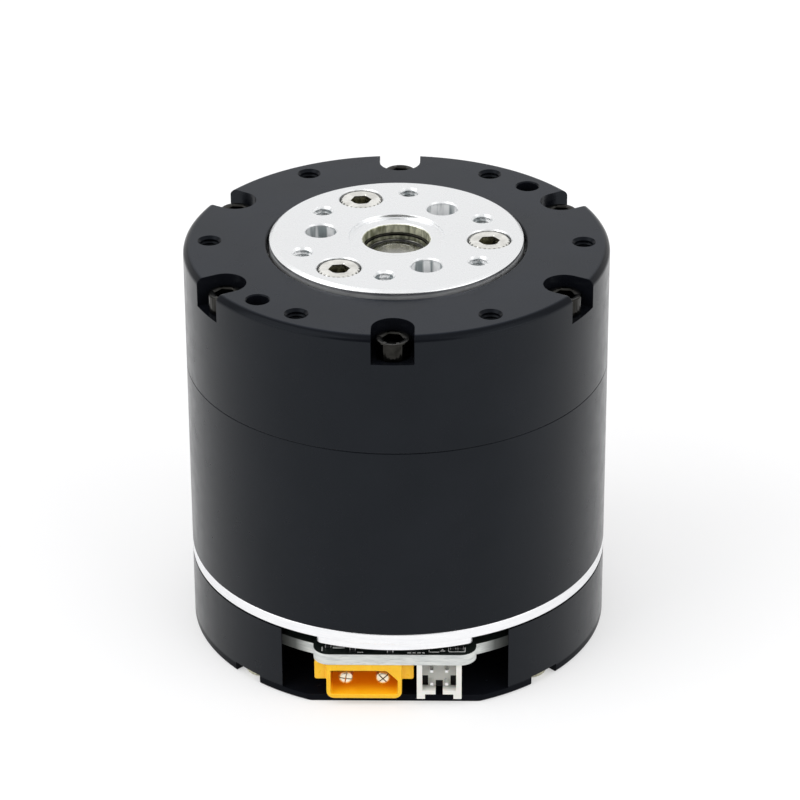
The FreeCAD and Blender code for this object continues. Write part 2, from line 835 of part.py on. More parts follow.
def ring_gear():
    """The one internal gear of both stages, clamped between the web and the main bearing."""
    teeth = whole(cell.ring_teeth)
    module = gear_module.value
    pitch = module * teeth / 2
    width = math.pi * module / 2 + cell.tooth_play.value / 2
    length = (main_bearing_bottom - web_top).value
    opening = tooth_outline(teeth, pitch - TOOTH_HEAD * module, pitch + TOOTH_ROOT * module, width)
    blank = Part.makeCylinder(main_bearing_outer.value, length)
    shape = blank.cut(opening.extrude(Vector(0, 0, length)))
    # a tooth of the ring points at the first planet of each stage
    turn = planet_turn(0) + 180 / teeth
    gear_feature("ring_gear", shape, 0, 0, web_top.value, turn)


def planet_turn(index):
    """Direction of a planet's axis from the output axis, in degrees."""
    first = cell.flange_turn.value + cell.planet_angle.value
    return first + FULL_TURN * index / whole(cell.third_count)


def planets(stage, bottom, width):
    """Three planets with a tooth gap turned to the ring and, for an even count, to the sun."""
    teeth = whole(cell.planet_teeth)
    bore = (planet_pin_radius + cell.running_gap).value
    orbit = gear_orbit.value
    for index in range(whole(cell.third_count)):
        turn = planet_turn(index)
        x = orbit * math.cos(math.radians(turn))
        y = orbit * math.sin(math.radians(turn))
        solid = gear_solid(teeth, width.value, bore)
        gear_feature(f"{stage}_planet_{index + 1}", solid, x, y, bottom.value, turn + 180 / teeth)


def sun_turn():
    """A sun has a tooth at each planet with an even tooth count, or a gap with an odd one."""
    half_pitch = 180 / whole(cell.sun_teeth)
    return planet_turn(0) + half_pitch * (whole(cell.planet_teeth) % 2)


def first_stage():
    planets("first", first_planet_bottom, cell.first_planet_width)
    length = (first_planet_top - first_sun_bottom).value
    bore = (sun_bore + cell.fit_gap).value
    sun = gear_solid(whole(cell.sun_teeth), length, bore)
    gear_feature("first_sun", sun, 0, 0, first_sun_bottom.value, sun_turn())
    plate = Piece("first_carrier", cell.flange_turn)
    plate.turned([
        (sun_spigot + cell.fit_gap, first_plate_bottom),
        (first_plate_radius, first_plate_bottom),
        (first_plate_radius, first_plate_top),
        (sun_spigot + cell.fit_gap, first_plate_top),
    ])
    seat = plate.hole(gear_orbit, planet_pin_radius + cell.fit_gap,
                      first_plate_top, cell.first_plate, cell.planet_angle)
    plate.around([seat], cell.third_count)
    pins = Piece("first_planet_pins", cell.flange_turn)
    pin = pins.rod(gear_orbit, planet_pin_radius, first_planet_bottom,
                   first_plate_top - first_planet_bottom, cell.planet_angle)
    pins.around([pin], cell.third_count)


def second_stage():
    planets("second", second_planet_bottom, cell.second_planet_width)
    pins = Piece("second_planet_pins", cell.flange_turn)
    pin = pins.rod(gear_orbit, planet_pin_radius, second_planet_bottom,
                   carrier_bottom + cell.second_pin_seat - second_planet_bottom,
                   cell.planet_angle)
    pins.around([pin], cell.third_count)
    # the second sun, its spigot in the first carrier and its shaft up to the centre bearing
    length = (second_planet_top - first_plate_top).value
    sun = gear_solid(whole(cell.sun_teeth), length, None)
    spigot_length = cell.first_plate.value
    spigot = Part.makeCylinder(sun_spigot.value, spigot_length, Vector(0, 0, -spigot_length))
    shaft_length = (centre_bearing_top - first_plate_top).value
    shaft = Part.makeCylinder(cell.centre_bearing_inner.value, shaft_length)
    shape = sun.fuse([spigot, shaft]).removeSplitter()
    gear_feature("second_sun", shape, 0, 0, first_plate_top.value, sun_turn())


def rotor():
    shaft = Piece("rotor_shaft")
    shaft.turned([
        (ZERO, shaft_bottom),
        (cell.shaft_radius, shaft_bottom),
        (cell.shaft_radius, first_sun_bottom),
        (sun_bore, first_sun_bottom),
        (sun_bore, first_planet_top),
        (ZERO, first_planet_top),
    ])
    bell = Piece("rotor_bell")
    bore = cell.shaft_radius + cell.fit_gap
    plate_underside = bell_top - cell.bell_plate
    boss_bottom = bell_top - cell.bell_boss
    bell.turned([
        (bore, boss_bottom),
        (cell.bell_boss_radius, boss_bottom),
        (cell.bell_boss_radius, plate_underside),
        (bell_inside, plate_underside),
        (bell_inside, motor_bottom + cell.bell_stand),
        (bell_radius, motor_bottom + cell.bell_stand),
        (bell_radius, bell_top),
        (bore, bell_top),
    ])
    magnets = Piece("rotor_magnets")
    bottom = stator_bottom - (cell.magnet_length - cell.stator_length) / 2
    block = magnets.sketch("XY_Plane", bottom)
    draw_rectangle(block, magnet_face, magnet_back,
                   -cell.magnet_width / 2, cell.magnet_width / 2)
    magnets.around([magnets.raised(block, cell.magnet_length)], cell.magnet_count)
    disc = Piece("encoder_magnet")
    disc.rod(ZERO, cell.encoder_magnet_radius, encoder_magnet_bottom, cell.encoder_magnet_height)


def stator():
    core = Piece("stator_core")
    ring_profile = [
        (post_radius, stator_bottom),
        (yoke_radius, stator_bottom),
        (yoke_radius, stator_top),
        (post_radius, stator_top),
    ]
    core.turned(ring_profile)
    half = cell.stator_tooth_width / 2
    root = yoke_radius - cell.tooth_overlap
    neck = stator_radius - cell.stator_shoe
    half_pitch = Size("180 deg") / cell.stator_teeth
    shoe_half = Size(f"({stator_radius.text} * sin({half_pitch.text}))")
    shoe_half = shoe_half - cell.slot_opening / 2
    tooth = core.sketch("XY_Plane", stator_bottom)
    tip = stator_radius - cell.stator_shoe / 2
    draw_outline(tooth, [
        (root, -half),
        (neck, -half),
        (tip, -shoe_half),
        (stator_radius, -shoe_half / 2),
        (stator_radius, shoe_half / 2),
        (tip, shoe_half),
        (neck, half),
        (root, half),
    ])
    core.around([core.raised(tooth, cell.stator_length)], cell.stator_teeth)

    coils = Piece("stator_coils")
    inner_half = half + cell.coil_gap
    outer_half = inner_half + cell.coil_thickness
    near = yoke_radius + cell.coil_inset
    far = neck - cell.coil_gap
    bottom = stator_bottom - cell.coil_head
    outside = coils.sketch("XY_Plane", bottom)
    draw_rectangle(outside, near, far, -outer_half, outer_half)
    block = coils.raised(outside, cell.stator_length + cell.coil_head * 2)
    inside = coils.sketch("XY_Plane", stator_top + cell.coil_gap)
    draw_rectangle(inside, near - cell.cut_reach, far + cell.cut_reach, -inner_half, inner_half)
    window = coils.sunk(inside, cell.stator_length + cell.coil_gap * 2)
    coils.around([block, window], cell.stator_teeth)

    leads = Piece("phase_leads")
    lead = leads.rod(cell.lead_circle, cell.lead_radius, board_top, bottom - board_top,
                     cell.lead_turn)
    leads.around([lead], cell.third_count)


def rotor_bearings():
    bore = cell.shaft_radius + cell.fit_gap
    bearing("front_rotor_bearing", bore, cell.front_bearing_outer, cell.front_bearing_split,
            front_bearing_top - cell.front_bearing_width, front_bearing_top)
    bearing("rear_rotor_bearing", bore, cell.rear_bearing_outer, cell.rear_bearing_split,
            plate_bottom, plate_bottom + cell.rear_bearing_width)


def driver_board():
    piece = Piece("driver_board")
    radius = cell.casing_radius - cell.cover_wall - cell.board_edge_gap
    piece.rod(ZERO, radius, cell.board_underside, cell.board_thickness)
    tab = piece.sketch("XY_Plane", cell.board_underside)
    half, corner = cell.board_tab_half, cell.board_tab_corner
    edge = cell.board_tab_setback - cell.casing_radius
    draw_outline(tab, [
        (-half, edge, corner),
        (half, edge, corner),
        (half, window_back),
        (-half, window_back),
    ])
    piece.raised(tab, cell.board_thickness)
    boss_cut = piece.hole(casing_screw_circle,
                          cell.cover_boss_radius + cell.board_boss_gap,
                          board_top, cell.board_thickness, cell.cover_screw_turn)
    piece.around([boss_cut], cell.cover_screw_count)
    screw_hole = piece.hole(standoff_circle, cell.board_screw_radius + cell.screw_gap,
                            board_top, cell.board_thickness, cell.board_screw_turn)
    piece.around([screw_hole], cell.third_count)


def chip(label, x, y, length, width, bottom, height):
    """A flat rectangular component, centred on (x, y)."""
    item = doc.addObject("Part::Box", label)
    item.Label = label
    item.setExpression("Length", Size.of(length).text)
    item.setExpression("Width", Size.of(width).text)
    item.setExpression("Height", Size.of(height).text)
    item.setExpression("Placement.Base.x", (Size.of(x) - Size.of(length) / 2).text)
    item.setExpression("Placement.Base.y", (Size.of(y) - Size.of(width) / 2).text)
    item.setExpression("Placement.Base.z", bottom.text)
    pieces.append(item)


def board_components():
    side = cell.encoder_chip_side
    chip("encoder_chip", ZERO, ZERO, side, side, board_top, cell.chip_height)
    side = cell.controller_side
    underside = cell.board_underside - cell.chip_height
    y = standoff_circle - cell.controller_inset
    chip("controller_chip", ZERO, y, side, side, underside, cell.chip_height)
    transistors = Piece("power_transistors", cell.component_turn)
    block = transistors.sketch("XY_Plane", board_top)
    half = cell.transistor_width / 2
    circle = standoff_circle - cell.transistor_inset
    draw_rectangle(block, circle - cell.transistor_length / 2,
                   circle + cell.transistor_length / 2, -half, half)
    transistors.around([transistors.raised(block, cell.chip_height)], cell.transistor_count)
    capacitors = Piece("capacitors", cell.component_turn)
    can = capacitors.rod(standoff_circle - cell.capacitor_inset, cell.capacitor_radius,
                         cell.board_underside - cell.capacitor_height, cell.capacitor_height)
    capacitors.around([can], cell.capacitor_count)


def board_screws():
    piece = Piece("board_screws", cell.board_screw_turn)
    shank = piece.rod(standoff_circle, cell.board_screw_radius, cell.board_underside,
                      cell.board_screw_length)
    head_bottom = cell.board_underside - cell.board_head_height
    head = piece.rod(standoff_circle, cell.board_screw_head, head_bottom,
                     cell.board_head_height)
    piece.around([shank, head], cell.third_count)


def plug_block(piece, corners, inset, depth):
    """A pad of an outline seen from the front, from inset behind the plugs' face backwards."""
    sketch = piece.sketch("XZ_Plane", plug_face - inset)
    draw_outline(sketch, corners)
    piece.raised(sketch, depth).Reversed = True


def plug_pocket(piece, corners, depth):
    """A pocket of an outline seen from the front, from the plugs' face backwards."""
    sketch = piece.sketch("XZ_Plane", plug_face)
    draw_outline(sketch, corners)
    piece.sunk(sketch, depth)


def power_connector():
    piece = Piece("power_connector")
    centre, top = cell.power_centre, cell.board_underside
    half, corner = cell.power_width / 2, cell.power_corner
    plug_block(piece, [
        (centre - half, plug_bottom, corner),
        (centre + half, plug_bottom, corner),
        (centre + half, top),
        (centre - half, top),
    ], ZERO, cell.power_depth)
    wing = cell.power_wing / 2
    plug_block(piece, rectangle(centre - wing, centre + wing, top - cell.power_wing_drop, top),
               cell.power_wing_setback, cell.power_wing_depth)
    low, high = plug_bottom + cell.power_lower_wall, top - cell.power_upper_wall
    inner, cut = cell.power_cavity_width / 2, cell.power_cavity_corner
    plug_pocket(piece, [
        (centre - inner, low),
        (centre + inner, low),
        (centre + inner, high - cut),
        (centre + inner - cut, high),
        (centre - inner, high),
    ], cell.power_cavity_depth)
    pins = Piece("power_pins")
    for side in (-1, 1):
        pin = pins.sketch("XZ_Plane", plug_face - cell.power_pin_inset)
        x = centre + cell.power_pin_pitch * side / 2
        draw_circle(pin, x, (low + high) / 2, cell.power_pin_radius)
        pins.raised(pin, cell.power_cavity_depth - cell.power_pin_inset).Reversed = True


def signal_header():
    piece = Piece("signal_header")
    centre, top = cell.signal_centre, cell.board_underside
    half, foot = cell.signal_width / 2, cell.signal_width / 2 - cell.signal_foot_width
    underside = plug_bottom + cell.signal_foot_height
    plug_block(piece, [
        (centre - half, plug_bottom),
        (centre - foot, plug_bottom),
        (centre - foot, underside),
        (centre + foot, underside),
        (centre + foot, plug_bottom),
        (centre + half, plug_bottom),
        (centre + half, top),
        (centre - half, top),
    ], ZERO, cell.signal_depth)
    inner, floor = half - cell.signal_wall, underside + cell.signal_floor
    plug_pocket(piece, rectangle(centre - inner, centre + inner, floor, top),
                cell.signal_cavity_depth)
    slot, slot_top = cell.signal_slot_width / 2, floor + cell.signal_slot_height
    plug_pocket(piece, rectangle(centre - slot, centre + slot, plug_bottom, slot_top),
                cell.signal_depth)
    window, window_top = inner - cell.signal_window_width, floor + cell.signal_window_height
    for near, far in ((-inner, -window), (window, inner)):
        plug_pocket(piece, rectangle(centre + near, centre + far, floor, window_top),
                    cell.signal_depth)
    pins = Piece("signal_pins")
    thick = cell.signal_pin_side / 2
    middle = (floor + top) / 2
    for side in (-1, 1):
        for level in (-1, 1):
            x = centre + cell.signal_pin_pitch * side / 2
            z = middle + cell.signal_pin_pitch * level / 2
            plug_block(pins, rectangle(x - thick, x + thick, z - thick, z + thick),
                       cell.signal_pin_inset, cell.signal_cavity_depth - cell.signal_pin_inset)


front_housing()
motor_housing()
end_plate()
rear_cover()
output_flange()
output_carrier()
output_bearings()
ring_gear()
second_stage()
first_stage()
rotor()
stator()
rotor_bearings()
driver_board()
board_components()
board_screws()
power_connector()
signal_header()
cap_screws("housing_screws", casing_screw_circle, cell.front_screw_count,
           cell.front_screw_turn, front_face - cell.notch_depth, cell.casing_screw_radius,
           cell.front_screw_length, cell.casing_screw_head, cell.front_head_height,
           cell.front_head_hex)
cap_screws("output_screws", flange_screw_circle, cell.third_count, cell.flange_turn,
           output_face - cell.flange_seat_depth, cell.flange_screw_radius,
           cell.flange_screw_length, cell.flange_screw_head, cell.flange_head_height,
           cell.flange_head_hex)

cover_screws()

doc.recompute()
failed = [item.Label for item in doc.Objects if {"Invalid", "Error"} & set(item.State)]
if failed:
    raise RuntimeError("failed objects: " + ", ".join(failed))
for piece in pieces:
    if piece.Shape.isNull() or not piece.Shape.isValid():
        raise RuntimeError("bad shape: " + piece.Label)

os.makedirs("parts", exist_ok=True)
for piece in pieces:
    piece.Shape.exportStep(f"parts/{piece.Label}.step")
    print(piece.Label, len(piece.Shape.Solids), round(piece.Shape.Volume, 2))
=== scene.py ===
import json
import math

import bmesh
import bpy
from mathutils import Matrix, Vector


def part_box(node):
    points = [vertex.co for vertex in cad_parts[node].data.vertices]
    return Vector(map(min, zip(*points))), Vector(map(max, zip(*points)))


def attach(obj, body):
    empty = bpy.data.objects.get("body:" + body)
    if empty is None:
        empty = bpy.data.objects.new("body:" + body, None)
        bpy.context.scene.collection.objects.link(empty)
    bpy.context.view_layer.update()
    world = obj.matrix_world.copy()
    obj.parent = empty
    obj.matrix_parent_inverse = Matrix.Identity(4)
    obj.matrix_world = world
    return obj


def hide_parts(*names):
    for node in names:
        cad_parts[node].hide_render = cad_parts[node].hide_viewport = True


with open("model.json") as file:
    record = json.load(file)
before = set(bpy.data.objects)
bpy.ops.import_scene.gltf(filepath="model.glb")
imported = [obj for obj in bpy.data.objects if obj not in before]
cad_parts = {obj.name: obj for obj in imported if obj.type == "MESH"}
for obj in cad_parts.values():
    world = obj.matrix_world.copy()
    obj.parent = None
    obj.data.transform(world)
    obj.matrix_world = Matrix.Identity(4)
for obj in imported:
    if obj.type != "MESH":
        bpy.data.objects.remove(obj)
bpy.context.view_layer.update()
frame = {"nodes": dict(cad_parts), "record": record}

# Lengths below are in millimetres, and MM turns them into metres.
MM = 0.001


def span(node):
    """A node's lowest and highest corners in millimetres."""
    low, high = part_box(node)
    return low / MM, high / MM


FRONT_LOW, FRONT_HIGH = span("front_housing")
COVER_HIGH = span("rear_cover")[1]
MOTOR_LOW = span("motor_housing")[0]
PLATE_LOW, PLATE_HIGH = span("end_plate")
FLANGE_HIGH = span("output_flange")[1]
RING_GEAR_LOW = span("ring_gear")[0]
FRONT_BEARING_LOW, FRONT_BEARING_HIGH = span("front_rotor_bearing_outer_race")
REAR_BEARING_HIGH = span("rear_rotor_bearing_outer_race")[1]
CORE_LOW = span("stator_core")[0]
BOARD_LOW, BOARD_HIGH = span("driver_board")
POWER_LOW, POWER_HIGH = span("power_connector")
SIGNAL_LOW, SIGNAL_HIGH = span("signal_header")

# Heights of the seams and faces, and outer radii.
CASING = FRONT_HIGH.x
FACE = FRONT_HIGH.z
SEAM = FRONT_LOW.z
RIM_TOP = MOTOR_LOW.z
RIM_BOTTOM = COVER_HIGH.z
TOP = FLANGE_HIGH.z
FLANGE = FLANGE_HIGH.x

# The parts' own inner sizes: radii of bores and of circles of holes, depths and turns in
# degrees. PLAY is the gap between fitted parts, SCREW_ROOM what a hole is deeper than its
# screw, and ABOVE how far a cutter stands out.
PLAY = 0.01
GEARBOX_BORE = 21.0 + PLAY
FRONT_WALL = 3.0
MOTOR_ROOM = CASING - 4.9
ROTOR_HOLE = 4.4
SCREW_CIRCLE = 25.6
SCREW_HOLE = 1.45
FRONT_SCREW_TURN = 30
COVER_SCREW_TURN = 45
NOTCH_DEPTH = 3.9
FACE_HOLE_CIRCLE = 25.0
FLANGE_TURN = -6.2
FLANGE_BORE = 4.51
FLANGE_FLOOR = TOP - 0.5
FLANGE_SCREW_CIRCLE = 12.45
FLANGE_SCREW_DEPTH = 3.1
SNAP_GROOVE = FLANGE_FLOOR - 1.5
THREAD_PITCH = 0.5
SCREW_ROOM = 0.3
ABOVE = 0.4
BOARD_SCREW_CIRCLE = 21.0
COVER_FLOOR = 1.0


# ---------------------------------------------------------------- mesh helpers

def new_object(name, points, faces):
    """A mesh object from points in millimetres, with its faces turned outwards."""
    mesh = bpy.data.meshes.new(name)
    mesh.from_pydata([Vector(p) * MM for p in points], [], faces)
    mesh.validate()
    made = bpy.data.objects.new(name, mesh)
    bpy.context.scene.collection.objects.link(made)
    tidy = bmesh.new()
    tidy.from_mesh(mesh)
    bmesh.ops.recalc_face_normals(tidy, faces=tidy.faces)
    tidy.to_mesh(mesh)
    tidy.free()
    return made


def rounded(corners, steps=4):
    """Corners (x, y) or (x, y, radius) of a closed outline, with arcs at those with a radius."""
    flat = [(c[0], c[1], c[2] if len(c) > 2 else 0) for c in corners]
    out = []
    for k, (x, y, radius) in enumerate(flat):
        here = Vector((x, y))
        before = Vector(flat[k - 1][:2])
        after = Vector(flat[(k + 1) % len(flat)][:2])
        if not radius:
            out.append((x, y))
            continue
        back, on = (before - here).normalized(), (after - here).normalized()
        half = back.angle(on) / 2
        reach = radius / math.tan(half)
        start, end = here + back * reach, here + on * reach
        middle = here + (back + on).normalized() * (radius / math.sin(half))
        first, last = start - middle, end - middle
        turn = first.angle_signed(last)
        for step in range(steps + 1):
            spoke = first.copy()
            spoke.rotate(Matrix.Rotation(-turn * step / steps, 2))
            out.append(tuple(middle + spoke))
    return out


def lathe(name, profile, steps=192, x=0):
    """A closed profile of (radius, height) turned about the vertical line through (x, 0)."""
    points, rings = [], []
    for radius, z in profile:
        if radius < 1e-6:
            rings.append([len(points)] * steps)
            points.append((x, 0, z))
            continue
        rings.append([len(points) + k for k in range(steps)])
        for k in range(steps):
            angle = 2 * math.pi * k / steps
            points.append((x + radius * math.cos(angle), radius * math.sin(angle), z))
    faces = []
    for ring, after in zip(rings, rings[1:] + rings[:1]):
        if ring[0] == ring[1] and after[0] == after[1]:
            continue
        for k in range(steps):
            corners = [ring[k], ring[(k + 1) % steps], after[(k + 1) % steps], after[k]]
            faces.append(list(dict.fromkeys(corners)))
    return new_object(name, points, faces)


def rod(name, radius, low, high, steps=48, x=0):
    """A plain upright cylinder."""
    return lathe(name, [(0, low), (radius, low), (radius, high), (0, high)], steps, x)


def prism(name, outline, low, high, plane="XY"):
    """An outline pushed from low to high. Plane XZ is an outline seen from the front."""
    count = len(outline)
    if plane == "XY":
        points = [(x, y, z) for z in (low, high) for x, y in outline]
    else:
        points = [(x, y, z) for y in (low, high) for x, z in outline]
    sides = [[k, (k + 1) % count, count + (k + 1) % count, count + k] for k in range(count)]
    ends = [list(range(count)), list(range(count, 2 * count))]
    return new_object(name, points, sides + ends)


def block(name, low, high):
    """A box from its lowest to its highest corner."""
    outline = [(low[0], low[1]), (high[0], low[1]), (high[0], high[1]), (low[0], high[1])]
    return prism(name, outline, low[2], high[2])


def turned(made, degrees):
    """Turns a mesh about the output axis."""
    made.data.transform(Matrix.Rotation(math.radians(degrees), 4, "Z"))
    return made


def around(make, count, start=0):
    """One joined copy of what make() builds at each of count places round the output axis."""
    return joined([turned(make(), start + 360 * k / count) for k in range(count)])


def joined(parts):
    """The first part, with the others' meshes added to it."""
    first = parts[0]
    mesh = bmesh.new()
    for part in parts:
        mesh.from_mesh(part.data)
    mesh.to_mesh(first.data)
    mesh.free()
    for part in parts[1:]:
        bpy.data.objects.remove(part)
    return first


def settle(made):
    """Turns an object's modifiers into its mesh."""
    bpy.context.view_layer.update()
    shown = made.evaluated_get(bpy.context.evaluated_depsgraph_get())
    mesh = bpy.data.meshes.new_from_object(shown)
    made.modifiers.clear()
    made.data = mesh
    return made


def combine(made, other, operation):
    """Joins another closed mesh to this one, or cuts it out, and removes it."""
    step = made.modifiers.new("shape", "BOOLEAN")
    step.operation = operation
    step.solver = "MANIFOLD"
    step.object = other
    settle(made)
    bpy.data.objects.remove(other)
    return made


def cut(made, *others):
    """Cuts the others out, one after another."""
    for other in others:
        combine(made, other, "DIFFERENCE")
    return made


def soften(made, width, angle=50, steps=2):
    """Clears the slivers that a cut leaves, then rounds the edges sharper than angle."""
    sliver = 0.004 * MM
    clean = bmesh.new()
    clean.from_mesh(made.data)
    bmesh.ops.remove_doubles(clean, verts=clean.verts, dist=sliver)
    bmesh.ops.dissolve_degenerate(clean, edges=clean.edges, dist=sliver)
    clean.to_mesh(made.data)
    clean.free()
    bevel = made.modifiers.new("edges", "BEVEL")
    bevel.width = width * MM
    bevel.segments = steps
    bevel.limit_method = "ANGLE"
    bevel.angle_limit = math.radians(angle)
    bevel.use_clamp_overlap = True
    return settle(made)


def finish_piece(made, body, slot, material, *nodes):
    """Shading, material, the body it moves with and the CAD nodes that it replaces."""
    sharp = math.radians(32)
    for face in made.data.polygons:
        face.use_smooth = True
    made.data.set_sharp_from_angle(angle=sharp)
    weights = made.modifiers.new("normals", "WEIGHTED_NORMAL")
    weights.keep_sharp = True
    weights.weight = 90
    settle(made)
    made.data.materials.clear()
    made.data.materials.append(material)
    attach(made, body)
    if nodes:
        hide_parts(*nodes)
    return made


# ---------------------------------------------------------------- materials

class Tree:
    """A node tree, built a node at a time."""

    def __init__(self, tree):
        self.nodes, self.links = tree.nodes, tree.links

    def node(self, kind, **inputs):
        """A new node with its inputs set or linked."""
        made = self.nodes.new(kind)
        for key, value in inputs.items():
            self.put(made.inputs[key], value)
        return made

    def put(self, socket, value):
        """Links a socket to another's output, or gives it a number or a colour."""
        if isinstance(value, bpy.types.NodeSocket):
            self.links.new(value, socket)
        elif isinstance(value, tuple) and len(value) == 3:
            socket.default_value = (*value, 1) if len(socket.default_value) == 4 else value
        else:
            socket.default_value = value

    def calc(self, operation, *values):
        """Arithmetic on numbers and sockets."""
        step = self.node("ShaderNodeMath")
        step.operation = operation
        for socket, value in zip(step.inputs, values):
            self.put(socket, value)
        return step.outputs[0]

    def spread(self, value, low, high, start=0.0, end=1.0, kind="LINEAR"):
        """Numbers from low to high as value goes from start to end."""
        names = ("From Min", "From Max", "To Min", "To Max")
        step = self.node("ShaderNodeMapRange", Value=value,
                         **dict(zip(names, (start, end, low, high))))
        step.interpolation_type = kind
        return step.outputs[0]


class Paint(Tree):
    """A node material. Sizes and heights given to it are in millimetres."""

    def __init__(self, name):
        self.material = bpy.data.materials.new(name)
        self.material.use_nodes = True
        super().__init__(self.material.node_tree)
        self.shader = self.nodes["Principled BSDF"]
        self.place = self.node("ShaderNodeTexCoord").outputs["Object"]
        self.relief = None

    def set(self, **values):
        """Sets the shader's inputs, named with _ for each space."""
        for key, value in values.items():
            self.put(self.shader.inputs[key.replace("_", " ")], value)
        return self

    def axis(self, letter):
        """One coordinate of the point that is shaded, in metres."""
        return self.node("ShaderNodeSeparateXYZ", Vector=self.place).outputs[letter]

    def upward(self):
        """How far a surface faces up: 1 on a level top, 0 on a wall."""
        way = self.node("ShaderNodeNewGeometry").outputs["Normal"]
        return self.node("ShaderNodeSeparateXYZ", Vector=way).outputs["Z"]

    def noise(self, size, detail=3, stretch=(1, 1, 1)):
        """Noise whose patches are about size across, longer where stretched."""
        scale = tuple(1 / (size * MM * s) for s in stretch)
        place = self.node("ShaderNodeMapping", Vector=self.place, Scale=scale)
        texture = self.node("ShaderNodeTexNoise", Vector=place.outputs[0], Scale=1.0,
                            Detail=float(detail))
        return texture.outputs[0]

    def rings(self, pitch, wobble=0.6):
        """Turning marks about the output axis, one every pitch."""
        scale = math.pi / (10 * pitch * MM)
        wave = self.node("ShaderNodeTexWave", Vector=self.place, Scale=scale, Distortion=wobble)
        wave.wave_type = "RINGS"
        wave.rings_direction = "Z"
        return wave.outputs["Fac"]

    def blend(self, value, low, high, start=0.3, end=0.7):
        """Numbers from low to high, or colours, as value goes from start to end."""
        if not isinstance(low, tuple):
            return self.spread(value, low, high, start, end)
        ramp = self.node("ShaderNodeValToRGB", Fac=value)
        for element, position, colour in zip(ramp.color_ramp.elements, (start, end), (low, high)):
            element.position = position
            element.color = (*colour, 1)
        return ramp.outputs[0]

    def across(self, value, low, high, start, end):
        """Numbers from low to high as a length goes from start to end."""
        return self.spread(value, low, high, start * MM, end * MM)

    def mix(self, share, low, high):
        """Colours from low to high as share goes from 0 to 1."""
        step = self.node("ShaderNodeMix")
        step.data_type = "RGBA"
        for key, value in (("Factor", share), ("A", low), ("B", high)):
            self.put(step.inputs[key], value)
        return step.outputs["Result"]

    def bump(self, value, height, strength=1.0):
        """Raises the surface by up to height."""
        step = self.node("ShaderNodeBump", Height=value, Distance=height * MM, Strength=strength)
        if self.relief:
            self.links.new(self.relief, step.inputs["Normal"])
        self.relief = step.outputs[0]
        return self.set(Normal=self.relief)

    def turned_grain(self, amount):
        """Stretches highlights across the turning marks."""
        grain = self.node("ShaderNodeTangent")
        grain.direction_type = "RADIAL"
        grain.axis = "Z"
        return self.set(Tangent=grain.outputs[0], Anisotropic=amount)


def anodised():
    """Black coat, cooler on the level top as a painted reflection tint, and duller on chamfers and
    round the foot.
    """
    p = Paint("black_anodised")
    height, facing = p.axis("Z"), p.upward()
    level = p.blend(facing, 0.0, 1.0, 0.9, 0.98)
    wall = p.blend(p.noise(9, 4), (0.0034, 0.0039, 0.0056), (0.0054, 0.0060, 0.0082))
    # Painted reflection: the level top's base colour is bluer, a tint that stands in for the cool
    # light it reflects.
    top = p.blend(p.noise(9, 4), (0.0020, 0.0036, 0.0076), (0.0032, 0.0054, 0.0114))
    top = p.mix(p.across(height, 0.0, 1.0, FACE - 1.0, FACE - 0.5), wall, top)
    gloss = p.blend(facing, 0.19, 0.08, 0.25, 0.5)
    gloss = p.mix(level, gloss, (0.17, 0.17, 0.17))
    foot = p.across(height, 1.0, 0.0, COVER_FLOOR, COVER_FLOOR + 0.3)
    gloss = p.mix(foot, gloss, (0.04, 0.04, 0.04))
    p.set(Base_Color=p.mix(level, wall, top), Roughness=p.blend(p.noise(2.2, 5), 0.2, 0.28),
          Specular_IOR_Level=gloss, Specular_Tint=(0.82, 0.91, 1.0))
    return p.bump(p.noise(0.16, 2), 0.004, 0.45).bump(p.rings(0.14), 0.001, 0.3).material


def turned_aluminium():
    """Bright turned faces, painted shade with bands of painted highlight down in the holes, and an
    oily film in the bore.
    """
    p = Paint("turned_aluminium")
    height = p.axis("Z")
    flat = p.node("ShaderNodeMapping", Vector=p.place, Scale=(1, 1, 0))
    length = p.node("ShaderNodeVectorMath")
    length.operation = "LENGTH"
    p.put(length.inputs[0], flat.outputs[0])
    radius = length.outputs["Value"]
    tone = p.blend(p.rings(0.17, 1.2), (0.79, 0.80, 0.81), (0.85, 0.855, 0.86))
    tone = p.mix(p.blend(p.noise(5, 3), 0.0, 0.35), tone, (0.81, 0.82, 0.835))
    # Painted shade and painted highlights: in the holes of the face, below the top, the colour
    # turns to dark and bright vertical bands, and the metal turns partly diffuse.
    face = p.calc("MULTIPLY", p.across(radius, 0.0, 1.0, 6.4, 6.45),
                  p.across(radius, 1.0, 0.0, FLANGE - 0.7, FLANGE - 0.65))
    holes = p.calc("MULTIPLY", p.across(height, 1.0, 0.0, TOP - 0.5, TOP - 0.03), face)
    hole_shade_and_glints = p.blend(p.noise(1.0, 2, (1, 1, 10)), (0.30, 0.335, 0.345), (0.95, 0.955, 0.96),
                      0.4, 0.56)
    tone = p.mix(holes, tone, hole_shade_and_glints)
    bore = p.across(radius, 1.0, 0.0, FLANGE_BORE + 0.05, FLANGE_BORE + 0.09)
    film = p.blend(p.noise(0.7, 4, (1, 1, 3)), (0.34, 0.35, 0.24), (0.95, 0.95, 0.80), 0.38, 0.62)
    rough = p.calc("MULTIPLY_ADD", p.across(height, 1.0, 0.0, TOP - 0.9, TOP - 0.5), 0.42,
                   p.blend(p.noise(1.6, 4), 0.22, 0.32))
    p.set(Base_Color=p.mix(bore, tone, film), Metallic=p.spread(holes, 1.0, 0.35),
          Roughness=rough)
    return p.turned_grain(0.5).bump(p.rings(0.17, 1.2), 0.0016, 0.3).material


def rim_aluminium():
    """Bright metal with fine scratches along the rim."""
    p = Paint("rim_aluminium")
    p.set(Base_Color=p.blend(p.noise(3, 3, (1, 1, 0.1)), (0.88, 0.885, 0.9), (0.95, 0.952, 0.96)),
          Metallic=1.0, Roughness=p.blend(p.noise(0.9, 4, (2, 2, 0.1)), 0.26, 0.38))
    return p.turned_grain(0.4).bump(p.noise(0.2, 3, (14, 14, 0.8)), 0.004, 0.5).material


